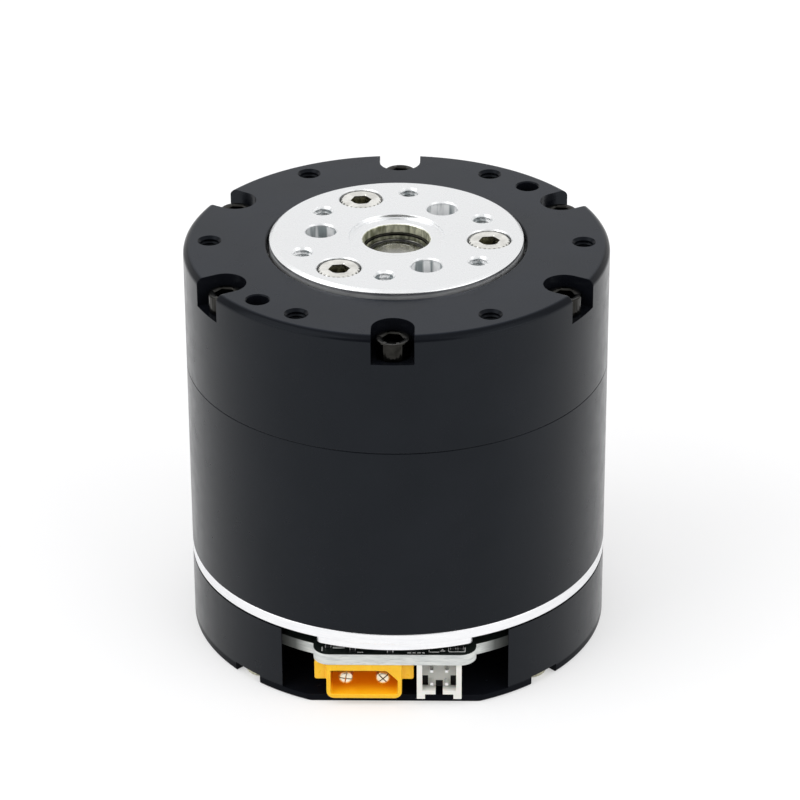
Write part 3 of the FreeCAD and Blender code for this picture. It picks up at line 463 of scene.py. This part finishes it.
def metal(name, dark, light, smooth, rough, grain=0.12, relief=0.002, fade=None):
    """Mottled metal, from dark to light and from smooth to rough. Grain and relief are the
    width and height of its bumps, and fade is the height from where it darkens downwards."""
    p = Paint(name)
    tone = p.blend(p.noise(1.2, 4), dark, light)
    if fade:
        # Below fade the colour darkens and browns in vertical bands; on the flange's screws this
        # is where the heads sit down in their counterbores.
        low_dark_tone = p.blend(p.noise(0.5, 3, (1, 1, 5)), (0.14, 0.135, 0.1), (0.46, 0.45, 0.36),
                        0.4, 0.62)
        tone = p.mix(p.across(p.axis("Z"), 1.0, 0.0, fade - 0.7, fade), tone, low_dark_tone)
    p.set(Base_Color=tone, Metallic=1.0, Roughness=p.blend(p.noise(0.7, 4), smooth, rough))
    return p.bump(p.noise(grain, 3), relief, 0.5).material


def plastic(name, dark, light, smooth, rough):
    """Plain plastic, rubber or ink."""
    p = Paint(name)
    p.set(Base_Color=p.blend(p.noise(1.5, 4), dark, light),
          Roughness=p.blend(p.noise(0.8, 3), smooth, rough))
    return p.bump(p.noise(0.1, 3), 0.003, 0.5).material


def nylon(p, dark, light, depth, inside, smooth, rough, glow):
    """Moulded nylon, which lets some light in. Depth is 0 outside and 1 deep in a pocket, where
    the colour turns to inside as painted shade.
    """
    outer = p.blend(p.noise(1.5, 4), dark, light)
    p.set(Base_Color=p.mix(depth, outer, inside), Subsurface_Weight=glow,
          Roughness=p.blend(p.noise(0.8, 3), smooth, rough), Subsurface_Scale=0.6 * MM)
    return p.bump(p.noise(0.1, 3), 0.003, 0.5).material


def amber_nylon():
    """Yellow outside, with painted shade making it deeper orange inside, and a painted glow on the
    pocket's low floor for light coming through the plug's low wall.
    """
    p = Paint("amber_nylon")
    face, floor = POWER_LOW.y, POWER_LOW.z
    # Painted glow: an orange emission on the low, upward faces of the pocket stands in for light
    # coming through the wall.
    low = p.across(p.axis("Z"), 0.17, 0.0, floor + 1.0, floor + 2.8)
    p.set(Emission_Color=(1.0, 0.24, 0.0),
          Emission_Strength=p.calc("MULTIPLY", low, p.blend(p.upward(), 0.0, 1.0, 0.5, 0.8)))
    # Painted shade: deeper in the pocket the colour turns to a darker, deeper orange.
    return nylon(p, (0.93, 0.50, 0.007), (0.97, 0.565, 0.014),
                 p.across(p.axis("Y"), 0.0, 1.0, face + 0.7, face + 3.0), (0.82, 0.26, 0.001),
                 0.26, 0.38, 0.12)


def ivory_nylon():
    """White outside, with painted shade making it greyer inside the header's pocket."""
    p = Paint("white_nylon")
    face = SIGNAL_LOW.y
    # Painted shade: deeper in the pocket the colour turns grey.
    return nylon(p, (0.78, 0.77, 0.71), (0.86, 0.855, 0.81),
                 p.across(p.axis("Y"), 0.0, 1.0, face + 0.3, face + 1.4), (0.50, 0.50, 0.46),
                 0.34, 0.46, 0.1)


def board_laminate():
    """Black solder mask on the faces. The edge is woven glass, with painted shade darkening it
    towards its sides.
    """
    p = Paint("board_laminate")
    face = p.blend(p.calc("ABSOLUTE", p.upward()), 0.0, 1.0, 0.4, 0.6)
    layers = p.blend(p.noise(0.6, 5, (5, 5, 0.7)), (0.54, 0.57, 0.56), (0.76, 0.78, 0.75))
    fibres = p.blend(p.noise(0.5, 5, (3, 3, 0.3)), 0.0, 0.45, 0.56, 0.66)
    weave = p.mix(fibres, layers, (0.30, 0.31, 0.30))
    # Painted shade: the edge darkens towards both sides, where the casing overhangs it.
    side = p.across(p.calc("ABSOLUTE", p.axis("X")), 0.0, 0.9, 11.3, 13.4)
    weave = p.mix(side, weave, (0.05, 0.055, 0.05))
    mask = p.blend(p.noise(0.9, 5), (0.006, 0.009, 0.008), (0.016, 0.021, 0.018))
    p.set(Base_Color=p.mix(face, weave, mask), Roughness=p.spread(face, 0.7, 0.27))
    return p.bump(p.noise(0.35, 3), 0.012, 0.35).material


BLACK = anodised()
FLANGE_METAL = turned_aluminium()
RIM_METAL = rim_aluminium()
BLACK_SCREW = metal("black_oxide", (0.015, 0.0145, 0.013), (0.034, 0.033, 0.03), 0.12, 0.26)
STEEL_SCREW = metal("stainless", (0.62, 0.61, 0.575), (0.86, 0.85, 0.81), 0.14, 0.27, 0.3, 0.006,
                    TOP - 0.3)
ZINC_SCREW = metal("zinc_plated", (0.34, 0.33, 0.24), (0.6, 0.585, 0.46), 0.24, 0.4, 0.3, 0.01)
OILED = metal("oiled_steel", (0.06, 0.06, 0.055), (0.46, 0.46, 0.43), 0.16, 0.34, 0.3, 0.01)
GROUND = metal("ground_steel", (0.5, 0.5, 0.505), (0.66, 0.66, 0.665), 0.14, 0.24, 0.08, 0.001)
MACHINED = metal("machined_steel", (0.33, 0.33, 0.335), (0.48, 0.48, 0.485), 0.3, 0.42)
GEAR_METAL = metal("gear_steel", (0.26, 0.255, 0.25), (0.4, 0.395, 0.385), 0.2, 0.34)
PLATED = metal("plated_steel", (0.2, 0.2, 0.205), (0.32, 0.32, 0.325), 0.3, 0.42)
NICKEL = metal("nickel", (0.56, 0.55, 0.52), (0.7, 0.69, 0.66), 0.16, 0.26)
LAMINATION = metal("laminations", (0.07, 0.07, 0.075), (0.13, 0.13, 0.135), 0.36, 0.5)
COPPER = metal("enamelled_copper", (0.55, 0.2, 0.08), (0.75, 0.34, 0.16), 0.22, 0.36)
GOLD_PIN = metal("pin_gold", (0.84, 0.76, 0.57), (0.95, 0.89, 0.76), 0.3, 0.42)
TIN_PIN = metal("pin_tin", (0.8, 0.8, 0.8), (0.93, 0.93, 0.92), 0.4, 0.52)
AMBER = amber_nylon()
IVORY = ivory_nylon()
PAINTED_SHADE_FILL = plastic("painted_shade_inside", (0.001, 0.001, 0.001), (0.003, 0.003, 0.003), 0.8, 0.9)
CHIP = plastic("chip_epoxy", (0.008, 0.008, 0.009), (0.02, 0.02, 0.021), 0.4, 0.55)
SEAL = plastic("seal_rubber", (0.012, 0.012, 0.012), (0.025, 0.025, 0.025), 0.5, 0.62)
INK = plastic("silk_ink", (0.55, 0.56, 0.54), (0.68, 0.69, 0.67), 0.5, 0.6)
LAMINATE = board_laminate()


# ---------------------------------------------------------------- holes and screws

def tapped_cutter(x, top, depth, radius=1.25, root=1.5, sink=1.6):
    """What a countersunk, threaded hole takes away. Sink is the countersink's radius."""
    sunk = top - (sink - radius)
    profile = [(0, top + ABOVE), (sink + ABOVE, top + ABOVE), (radius, sunk)]
    z = sunk - 0.1
    while z - THREAD_PITCH > top - depth:
        profile += [(radius, z), (root, z - THREAD_PITCH * 0.35), (root, z - THREAD_PITCH * 0.5)]
        z -= THREAD_PITCH
    profile += [(radius, z), (radius, top - depth), (0, top - depth - radius * 0.5)]
    return lathe("tapped", profile, 40, x)


def plain_cutter(x, top, depth, radius, sink=0.0):
    """What a plain hole takes away. Sink is how far its edge is broken."""
    profile = [(0, top + ABOVE), (radius + sink + ABOVE, top + ABOVE), (radius, top - sink),
               (radius, top - depth), (0, top - depth)]
    return lathe("plain", profile, 56, x)


def slot_cutter(radius, low, high):
    """A notch open to the outside, round at its inner end, at the screws' circle."""
    far, steps = CASING + 2, 24
    outline = [(far, -radius), (far, radius), (SCREW_CIRCLE, radius)]
    for step in range(1, steps):
        angle = math.pi / 2 + math.pi * step / steps
        outline.append((SCREW_CIRCLE + radius * math.cos(angle), radius * math.sin(angle)))
    outline.append((SCREW_CIRCLE, -radius))
    return prism("notch", outline, low, high)


def cap_screw(x, seat, radius, height, hexagon, shank, length, spin, ribs, rib, edge=0.2):
    """A socket cap screw: head of radius and height on the seat, with ribs of depth rib and
    a chamfered edge, a hexagon socket of that width, and a shank of that radius and length."""
    count = ribs * 4
    top = seat + height
    socket = height * 0.5
    points, rings = [], []

    def ring(z, size):
        rings.append([len(points) + k for k in range(count)])
        for k in range(count):
            angle = 2 * math.pi * k / count
            r = size(k, angle)
            points.append((x + r * math.cos(angle + spin), r * math.sin(angle + spin), z))

    def circle(r):
        return lambda k, angle: r

    def ribbed(k, angle):
        return radius - (0.0, 0.1, 1.0, 0.1)[k % 4] * rib

    def six(across):
        return lambda k, angle: across / 2 / math.cos((angle % (math.pi / 3)) - math.pi / 6)

    ring(seat - length, circle(shank * 0.8))
    ring(seat - length + 0.3, circle(shank))
    ring(seat, circle(shank))
    ring(seat, circle(radius - 0.16))
    ring(seat + 0.12, circle(radius - 0.03))
    ring(seat + 0.2, ribbed)
    ring(top - edge, ribbed)
    ring(top - edge * 0.25, circle(radius - edge))
    ring(top, circle(radius - edge * 1.4))
    ring(top, circle(hexagon * 0.62))
    ring(top - 0.12, six(hexagon + 0.02))
    ring(top - socket, six(hexagon))
    rings.append([len(points)] * count)
    points.append((x, 0, top - socket - hexagon * 0.18))
    faces = [[rings[0][k] for k in range(count)]]
    for lower, upper in zip(rings, rings[1:]):
        for k in range(count):
            corners = [lower[k], lower[(k + 1) % count], upper[(k + 1) % count], upper[k]]
            faces.append(list(dict.fromkeys(corners)))
    return new_object("screw", points, faces)


# ---------------------------------------------------------------- casings

def front_casing():
    """The upper casing: face ring with its holes, open notches and the gearbox's bore."""
    lip, inner, edge = FLANGE + 0.4, FACE - FRONT_WALL, 0.6
    made = lathe("front_casing", rounded([
        (GEARBOX_BORE, SEAM), (CASING, SEAM, 0.12), (CASING, FACE - edge, 0.8),
        (CASING - edge, FACE, 0.8), (lip, FACE, 0.3), (lip, inner), (GEARBOX_BORE, inner),
    ], 6), 288)
    seat = FACE - NOTCH_DEPTH
    cut(made, around(lambda: slot_cutter(2.8, seat, FACE + 1), 6, FRONT_SCREW_TURN))
    soften(made, 0.16)
    cut(made,
        around(lambda: plain_cutter(SCREW_CIRCLE, seat, 14, SCREW_HOLE), 6, FRONT_SCREW_TURN),
        around(lambda: tapped_cutter(FACE_HOLE_CIRCLE, FACE, 6.0), 6),
        around(lambda: plain_cutter(FACE_HOLE_CIRCLE, FACE, 5.0, 1.5, 0.16), 2, 45))
    finish_piece(made, "housing", "casing_black", BLACK, "front_housing")


def motor_casing():
    """The middle casing, with the wall that holds the rotor's front bearing."""
    seat, core = 5.0 + PLAY, 1.27
    wall, room = RING_GEAR_LOW.z, FRONT_BEARING_LOW.z
    made = lathe("motor_casing", rounded([
        (MOTOR_ROOM, RIM_TOP), (CASING, RIM_TOP, 0.14), (CASING, SEAM, 0.12),
        (GEARBOX_BORE, SEAM), (GEARBOX_BORE, wall), (ROTOR_HOLE, wall),
        (ROTOR_HOLE, FRONT_BEARING_HIGH.z), (seat, FRONT_BEARING_HIGH.z), (seat, room),
        (MOTOR_ROOM, room),
    ]), 288)
    from_front = SEAM - span("housing_screws")[0].z + SCREW_ROOM
    top = span("cover_screws")[1].z + SCREW_ROOM
    from_cover = top - RIM_TOP + ABOVE
    cut(made,
        around(lambda: plain_cutter(SCREW_CIRCLE, SEAM, from_front, core), 6, FRONT_SCREW_TURN),
        around(lambda: plain_cutter(SCREW_CIRCLE, top, from_cover, core), 4, COVER_SCREW_TURN))
    finish_piece(made, "housing", "casing_black", BLACK, "motor_housing")


def rim_plate():
    """The end plate: bright rim, tab over the window, posts and the stator's tube."""
    seat, spigot, tube, bore = 6.5 + PLAY, MOTOR_ROOM - PLAY, 8.0 - PLAY, 4.2
    step, foot = RIM_TOP + 1.1, 9.8
    made = lathe("rim_plate", rounded([
        (seat, RIM_BOTTOM), (CASING, RIM_BOTTOM, 0.1), (CASING, RIM_TOP, 0.1),
        (spigot, RIM_TOP), (spigot, step), (foot, step), (foot, CORE_LOW.z), (tube, CORE_LOW.z),
        (tube, PLATE_HIGH.z), (bore, PLATE_HIGH.z), (bore, REAR_BEARING_HIGH.z),
        (seat, REAR_BEARING_HIGH.z),
    ]), 288)
    half_angle, steps, into = 22.2, 24, RIM_BOTTOM + 0.2
    outline = []
    for radius, ends in ((28.2, (-1, 1)), (24.6, (1, -1))):
        for k in range(steps + 1):
            share = ends[0] + (ends[1] - ends[0]) * k / steps
            angle = math.radians(270 + half_angle * share)
            outline.append((radius * math.cos(angle), radius * math.sin(angle)))
    corners = (0, steps, steps + 1, 2 * steps + 1)
    outline = rounded([(*p, 0.9 if k in corners else 0) for k, p in enumerate(outline)], 6)
    combine(made, prism("tab", outline, RIM_BOTTOM - 1.0, into), "UNION")
    posts = around(lambda: rod("post", 2.4, PLATE_LOW.z, into, 48, BOARD_SCREW_CIRCLE), 3, 90)
    combine(made, posts, "UNION")
    top = span("board_screws")[1].z + SCREW_ROOM
    cut(made, around(lambda: plain_cutter(BOARD_SCREW_CIRCLE, top, 3.5, 1.02), 3, 90),
        around(lambda: plain_cutter(SCREW_CIRCLE, RIM_TOP, 1.9, SCREW_HOLE), 4, COVER_SCREW_TURN),
        around(lambda: plain_cutter(13.2, step, 3.0, 1.0), 3, 60))
    soften(made, 0.07, 60)
    finish_piece(made, "housing", "plate_silver", RIM_METAL, "end_plate")


def base_cover():
    """The cup at the base, with its window, screw notches and a thin gap under the rim."""
    inside = CASING - 1.4
    made = lathe("base_cover", rounded([
        (0, 0), (CASING, 0, 0.3), (CASING, RIM_BOTTOM, 0.1), (inside, RIM_BOTTOM, 0.1),
        (inside, COVER_FLOOR, 0.4), (0, COVER_FLOOR),
    ]), 288)
    boss = around(lambda: rod("boss", 2.85, 0.5, RIM_BOTTOM, 48, SCREW_CIRCLE), 4,
                  COVER_SCREW_TURN)
    combine(made, boss, "UNION")
    half, outside = 15.2, -CASING - 1
    window = block("window", (-half, outside, COVER_FLOOR), (half, 7.5 - CASING, RIM_BOTTOM + 1))
    flat = block("edge", (-half, outside, -1), (half, 2.57 - CASING, COVER_FLOOR + 0.5))
    cut(made, window, flat, around(lambda: slot_cutter(2.4, -1, 1.3), 4, COVER_SCREW_TURN))
    soften(made, 0.14)
    low, high, near, far = RIM_BOTTOM - 0.22, RIM_BOTTOM + 1, CASING - 0.35, CASING + 1
    cut(made,
        around(lambda: plain_cutter(SCREW_CIRCLE, RIM_BOTTOM, 10, SCREW_HOLE), 4,
               COVER_SCREW_TURN),
        lathe("gap", [(near, low), (far, low), (far, high), (near, high)], 288))
    finish_piece(made, "housing", "casing_black", BLACK, "rear_cover")


def flange():
    """The output flange: bevelled rim, ring round the bore, snap ring groove and holes."""
    low, shoulder, groove = TOP - 4, 6.35, FLANGE_BORE + 0.2
    floor, deep, high = FLANGE_FLOOR, SNAP_GROOVE - 0.16, SNAP_GROOVE + 0.16
    made = lathe("flange", rounded([
        (FLANGE_BORE, low), (FLANGE, low), (FLANGE, TOP - 0.42, 0.2), (FLANGE - 0.5, TOP, 0.25),
        (shoulder, TOP, 0.14), (shoulder, floor, 0.2), (groove, floor, 0.06),
        (FLANGE_BORE, floor - 0.2, 0.06), (FLANGE_BORE, high + 0.04), (groove, high),
        (groove, deep), (FLANGE_BORE, deep - 0.04),
    ]), 256)
    circle, seat = FLANGE_SCREW_CIRCLE, TOP - FLANGE_SCREW_DEPTH
    cut(made, around(lambda: plain_cutter(circle, TOP, FLANGE_SCREW_DEPTH, 2.95, 0.16), 3),
        around(lambda: plain_cutter(10.2, TOP, 4.5, 2.05, 0.2), 3, 60),
        joined([around(lambda: tapped_cutter(12.5, TOP, 5.0, 1.2, 1.48, 1.5), 3, 30),
                around(lambda: tapped_cutter(13.5, TOP, 5.0, 1.2, 1.48, 1.5), 3, 90)]))
    cut(made, around(lambda: plain_cutter(circle, seat + 0.2, 2, 1.7), 3))
    finish_piece(turned(made, FLANGE_TURN), "output", "flange_silver", FLANGE_METAL,
                 "output_flange")


# ---------------------------------------------------------------- screws

def screws():
    """The six black, three bright and four upturned screws."""
    made = around(lambda: cap_screw(SCREW_CIRCLE, FACE - NOTCH_DEPTH, radius=2.25, height=2.5,
                                    hexagon=2.5, shank=1.25, length=20.0, spin=0.4, ribs=32,
                                    rib=0.03, edge=0.1), 6, FRONT_SCREW_TURN)
    finish_piece(made, "housing", "screw_black", BLACK_SCREW, "housing_screws")
    made = around(lambda: cap_screw(FLANGE_SCREW_CIRCLE, TOP - FLANGE_SCREW_DEPTH, radius=2.75,
                                    height=3.0, hexagon=2.5, shank=1.5, length=8.0, spin=0.25,
                                    ribs=24, rib=0.26), 3, FLANGE_TURN)
    finish_piece(made, "output", "screw_steel", STEEL_SCREW, "output_screws")

    def low_head():
        made = cap_screw(SCREW_CIRCLE, -1.3, radius=2.25, height=1.2, hexagon=1.5, shank=1.25,
                         length=16.0, spin=0.2, ribs=24, rib=0.16)
        made.data.transform(Matrix.Rotation(math.pi, 4, "X"))
        return made

    made = around(low_head, 4, COVER_SCREW_TURN)
    finish_piece(made, "housing", "screw_steel", ZINC_SCREW, "cover_screws")


# ---------------------------------------------------------------- bearing in the flange

def centre_bearing():
    """The bearing in the flange's bore, with its seal and the snap ring over it."""
    low, top = (corner.z for corner in span("centre_bearing_outer_race"))
    outer = lathe("bearing_outer", rounded([
        (3.62, low), (4.5, low), (4.5, top, 0.15), (3.95, top, 0.06), (3.93, top - 0.14),
        (3.62, top - 0.16),
    ]), 96)
    finish_piece(outer, "output", "bearing_steel", OILED, "centre_bearing_outer_race")
    shield = lathe("bearing_shield", rounded([
        (3.52, top - 0.34), (3.94, top - 0.34), (3.94, top - 0.13), (3.84, top - 0.06, 0.04),
        (3.62, top - 0.1), (3.52, top - 0.2),
    ]), 96)
    finish_piece(shield, "output", "bearing_steel", SEAL)
    ring_low, ring_high = SNAP_GROOVE - 0.14, SNAP_GROOVE + 0.14
    ring = lathe("snap_ring", rounded([
        (4.22, ring_low), (4.68, ring_low), (4.68, ring_high), (4.22, ring_high, 0.05),
    ]), 96)
    finish_piece(ring, "output", "screw_black", BLACK_SCREW)
    inner = lathe("bearing_inner", rounded([
        (2.51, low), (3.48, low), (3.48, top - 0.05, 0.05), (2.62, top, 0.05), (2.51, top - 0.12),
    ]), 96)
    finish_piece(inner, "first_carrier", "bearing_steel", OILED, "centre_bearing_inner_race")


# ---------------------------------------------------------------- board and connectors

def board():
    """The driver board, with printed marks and small parts near its front edge."""
    low, high, front, half = BOARD_LOW.z, BOARD_HIGH.z, BOARD_LOW.y, 10.9
    made = rod("board", CASING - 1.8, low, high, 192)
    tab = rounded([(-half, front, 2.2), (half, front, 2.2), (half, -21), (-half, -21)], 8)
    combine(made, prism("tab", tab, low, high), "UNION")
    cut(made,
        around(lambda: rod("boss", 3.3, low - 1, high + 1, 48, SCREW_CIRCLE), 4, COVER_SCREW_TURN),
        around(lambda: rod("hole", 1.2, low - 1, high + 1, 32, BOARD_SCREW_CIRCLE), 3, 90))
    finish_piece(made, "housing", "board_black", LAMINATE, "driver_board")

    # Bars of printing, as (x, distance from the front edge, width, depth), and a triangle.
    bars = ((-7.5, 1.75, 1.6, 0.4), (1.95, 0.55, 0.5, 0.25), (2.6, 0.55, 0.4, 0.25),
            (3.25, 0.55, 0.45, 0.25), (3.85, 0.55, 0.3, 0.25), (5.3, 0.75, 1.3, 0.14),
            (4.62, 1.0, 0.12, 0.6), (8.3, 0.85, 2.1, 0.12), (9.4, 1.4, 0.12, 1.1),
            (-4.6, 0.6, 0.8, 0.12), (-9.7, 1.4, 0.14, 1.0), (7.2, 1.4, 0.12, 0.9))
    ink_low, ink_high = high + 0.002, high + 0.03
    marks = [block("mark", (x - wide / 2, front + into - deep / 2, ink_low),
                   (x + wide / 2, front + into + deep / 2, ink_high))
             for x, into, wide, deep in bars]
    marks.append(prism("dot", [(6.05, front + 0.9), (6.75, front + 0.9), (6.4, front + 1.5)],
                       ink_low, ink_high))
    finish_piece(joined(marks), "housing", "header_white", INK)

    bodies, ends = [], []
    for x, into in ((7.8, 1.55), (8.8, 1.55), (-8.9, 1.9), (-5.6, 1.3), (-0.6, 0.75)):
        y = front + into
        bodies.append(block("body", (x - 0.3, y - 0.25, high + 0.01),
                            (x + 0.3, y + 0.25, high + 0.3)))
        for side in (-1, 1):
            near, far = sorted((x + 0.3 * side, x + 0.42 * side))
            ends.append(block("end", (near, y - 0.26, high + 0.005),
                              (far, y + 0.26, high + 0.31)))
    finish_piece(soften(joined(bodies), 0.03), "housing", "chip_black", CHIP)
    finish_piece(soften(joined(ends), 0.04), "housing", "pin_tin", TIN_PIN)


def power_plug():
    """The amber plug: shell with wings, a pocket with one cut corner, two split pins."""
    face, back = POWER_LOW.y, POWER_HIGH.y
    low, top, mid = POWER_LOW.z, POWER_HIGH.z, (POWER_LOW.x + POWER_HIGH.x) / 2
    half, reach = 5.05, (POWER_HIGH.x - POWER_LOW.x) / 2
    shell = rounded([(mid - half, low, 1.0), (mid + half, low, 1.0), (mid + half, top),
                     (mid - half, top)], 6)
    made = prism("power_shell", shell, face, back, "XZ")
    under = top - 2.65
    wing = rounded([(mid - reach, under, 0.3), (mid + reach, under, 0.3), (mid + reach, top),
                    (mid - reach, top)], 4)
    combine(made, prism("wing", wing, face + 0.6, face + 8.6, "XZ"), "UNION")
    floor, roof, inside, corner = low + 0.65, top - 1.07, 4.48, 1.5
    cavity = [(mid - inside, floor, 0.3), (mid + inside, floor, 0.3),
              (mid + inside, roof - corner), (mid + inside - corner, roof),
              (mid - inside, roof, 0.25)]
    cut(made, prism("cavity", rounded(cavity, 3), face - 1, face + 8.4, "XZ"))
    soften(made, 0.13, 40, 3)
    finish_piece(made, "housing", "power_amber", AMBER, "power_connector")

    pins, length = [], 7.3
    for side, spin in ((-1, 8), (1, 48)):
        pin = lathe("pin", rounded([(0, 0), (1.0, 0, 0.45), (1.0, length), (0, length)], 6), 48)
        for turn in (0, 90):
            blade = block("blade", (-2, -0.075, -1), (2, 0.075, 1.6))
            cut(pin, turned(blade, spin + turn))
        pin.data.transform(Matrix.Rotation(-math.pi / 2, 4, "X"))
        place = Vector((mid + 2.5 * side, face + 1.1, (floor + roof) / 2)) * MM
        pin.data.transform(Matrix.Translation(place))
        pins.append(pin)
    finish_piece(joined(pins), "housing", "pin_gold", GOLD_PIN, "power_pins")


def signal_plug():
    """The white header: pocket, slot and two windows that look into its hollow, filled with a
    near-black block as painted shade.
    """
    face, back = SIGNAL_LOW.y, SIGNAL_HIGH.y
    low, top, mid = SIGNAL_LOW.z, SIGNAL_HIGH.z, (SIGNAL_LOW.x + SIGNAL_HIGH.x) / 2
    half, leg, lift = (SIGNAL_HIGH.x - SIGNAL_LOW.x) / 2, 1.9, low + 0.7
    outline = [(-half, low), (-leg, low), (-leg, lift), (leg, lift), (leg, low), (half, low),
               (half, top), (-half, top)]
    made = prism("signal_shell", [(mid + x, z) for x, z in outline], face, back, "XZ")

    def pocket(left, right, bottom, high, depth, start=-1.0):
        """What a pocket takes away, from start to depth behind the face."""
        corners = [(mid + left, bottom), (mid + right, bottom), (mid + right, high),
                   (mid + left, high)]
        return prism("pocket", corners, face + start, face + depth, "XZ")

    floor, inside, depth, through = low + 1.28, 2.27, 1.5, 9
    sill, head = floor - 0.3, floor + 1.5
    cut(made, pocket(-inside, inside, floor, top + 1, depth),
        pocket(-0.48, 0.48, low - 1, floor + 0.76, through),
        pocket(-inside, -1.5, sill, head, through, depth - 0.02),
        pocket(1.5, inside, sill, head, through, depth - 0.02))
    near = Vector((mid - 2.4, face + 1.85, low + 0.8))
    far = Vector((mid + 2.4, back - 0.5, top - 0.55))
    cut(made, block("hollow", near, far))
    soften(made, 0.05, 40)
    finish_piece(made, "housing", "header_white", IVORY, "signal_header")
    # Painted shade: a near-black block fills the hollow, so the windows show dark.
    gap = Vector((0.03, 0.03, 0.03))
    core = block("painted_shade_core", near + gap, far - gap)
    finish_piece(soften(core, 0.05), "housing", "chip_black", PAINTED_SHADE_FILL)

    pins = []
    middle = (floor + top) / 2 - 0.25
    tip, shoulder, end = face + 0.4, face + 0.55, face + 1.5
    for x in (mid - 1, mid + 1):
        for z in (middle - 1, middle + 1):
            points = []
            for y, r in ((tip, 0.19), (shoulder, 0.25), (end, 0.25)):
                points += [(x - r, y, z - r), (x + r, y, z - r), (x + r, y, z + r),
                           (x - r, y, z + r)]
            faces = [[0, 1, 2, 3], [8, 9, 10, 11]]
            faces += [[r + k, r + (k + 1) % 4, r + 4 + (k + 1) % 4, r + 4 + k]
                      for r in (0, 4) for k in range(4)]
            pins.append(new_object("pin", points, faces))
    finish_piece(soften(joined(pins), 0.03, 30), "housing", "pin_tin", TIN_PIN, "signal_pins")


front_casing()
motor_casing()
rim_plate()
base_cover()
flange()
screws()
centre_bearing()
board()
power_plug()
signal_plug()

# The CAD model's own nodes, which show where no piece replaces them, by their slots.
SLOT_MATERIALS = {
    "carrier_steel": MACHINED, "bearing_steel": GROUND, "gear_steel": GEAR_METAL,
    "pin_steel": GROUND, "bell_steel": PLATED, "magnet_nickel": NICKEL,
    "lamination_steel": LAMINATION, "copper_wire": COPPER, "chip_black": CHIP,
    "screw_steel": STEEL_SCREW, "casing_black": BLACK, "plate_silver": RIM_METAL,
    "flange_silver": FLANGE_METAL, "board_black": LAMINATE, "power_amber": AMBER,
    "pin_gold": GOLD_PIN, "header_white": IVORY, "pin_tin": TIN_PIN, "screw_black": BLACK_SCREW,
}
for part in frame["record"]["subparts"]:
    node = frame["nodes"][part["node"]]
    node.data.materials.clear()
    node.data.materials.append(SLOT_MATERIALS[part["material_slot"]])


# ---------------------------------------------------------------- stage, lights and camera

def seen_directly(tree):
    """1 for camera, glossy and transmission rays, 0 for the rays that light the scene."""
    path = tree.node("ShaderNodeLightPath")
    seen = path.outputs["Is Camera Ray"]
    for name in ("Is Glossy Ray", "Is Transmission Ray"):
        seen = tree.calc("MAXIMUM", seen, path.outputs[name])
    return seen


def dark_end(tree):
    """1 in reflections of the studio's unlit end, towards -y, and 0 elsewhere."""
    way = tree.node("ShaderNodeTexCoord").outputs["Generated"]
    along = tree.node("ShaderNodeSeparateXYZ", Vector=way).outputs["Y"]
    near = tree.spread(along, 0.0, 1.0, -0.45, -0.85, "SMOOTHSTEP")
    path = tree.node("ShaderNodeLightPath")
    return tree.calc("MULTIPLY", near, path.outputs["Is Glossy Ray"])


def stage():
    """A sheet of pale paper under the part, which fades into the white background."""
    half, z = 3000, -0.05
    floor = new_object("floor", [(-half, -half, z), (half, -half, z), (half, half, z),
                                 (-half, half, z)], [[0, 1, 2, 3]])
    p = Paint("floor_paper")
    p.set(Base_Color=p.blend(p.noise(40, 2), (0.60, 0.60, 0.605), (0.61, 0.61, 0.615)),
          Roughness=0.9, Specular_IOR_Level=0.1, Emission_Color=(1.0, 1.0, 1.0),
          Emission_Strength=p.calc("MULTIPLY", seen_directly(p), 0.39))
    floor.data.materials.append(p.material)


def studio():
    """White to look at, softer as a light, and dark at one end in reflections."""
    world = bpy.data.worlds.new("studio")
    bpy.context.scene.world = world
    world.use_nodes = True
    tree = Tree(world.node_tree)
    level = tree.spread(seen_directly(tree), 0.87, 1.0)
    dim = tree.spread(dark_end(tree), 1.0, 0.12)
    back = tree.nodes["Background"]
    tree.put(back.inputs["Color"], (1, 1, 1))
    tree.put(back.inputs["Strength"], tree.calc("MULTIPLY", level, dim))


def lamp(name, place, size, power):
    """A square lamp, in metres and watts, turned to the middle of the part."""
    light = bpy.data.lights.new(name, "AREA")
    light.shape = "SQUARE"
    light.size = size
    light.energy = power
    made = bpy.data.objects.new(name, light)
    bpy.context.scene.collection.objects.link(made)
    made.location = place
    way = Vector((0, 0, 0.03)) - Vector(place)
    made.rotation_euler = way.to_track_quat("-Z", "Y").to_euler()


def camera():
    """At the photograph's height, distance and turn about the part."""
    rise, roll, turn = (math.radians(angle) for angle in (28.309, -0.32, 1.2))
    aim, distance = Vector((0, 0, 28)), 520.07
    back = Vector((0, -math.cos(rise), math.sin(rise)))
    right = Vector((1, 0, 0))
    up = back.cross(right)
    across = right * math.cos(roll) + up * math.sin(roll)
    upward = up * math.cos(roll) - right * math.sin(roll)
    pose = Matrix((across, upward, back)).transposed().to_4x4()
    pose.translation = (aim + back * distance) * MM
    lens = bpy.data.cameras.new("view")
    lens.lens = 170.83
    lens.sensor_width = 36
    lens.shift_x = 0.0031
    lens.shift_y = 0.0323
    lens.clip_start = 0.01
    made = bpy.data.objects.new("view", lens)
    bpy.context.scene.collection.objects.link(made)
    made.matrix_world = Matrix.Rotation(turn, 4, "Z") @ pose
    bpy.context.scene.camera = made


stage()
studio()
lamp("key", (-1.2, -0.6, 1.0), 1.5, 12)
lamp("fill", (1.2, -0.8, 0.8), 1.4, 8)
camera()
bpy.context.scene.view_settings.view_transform = "Standard"
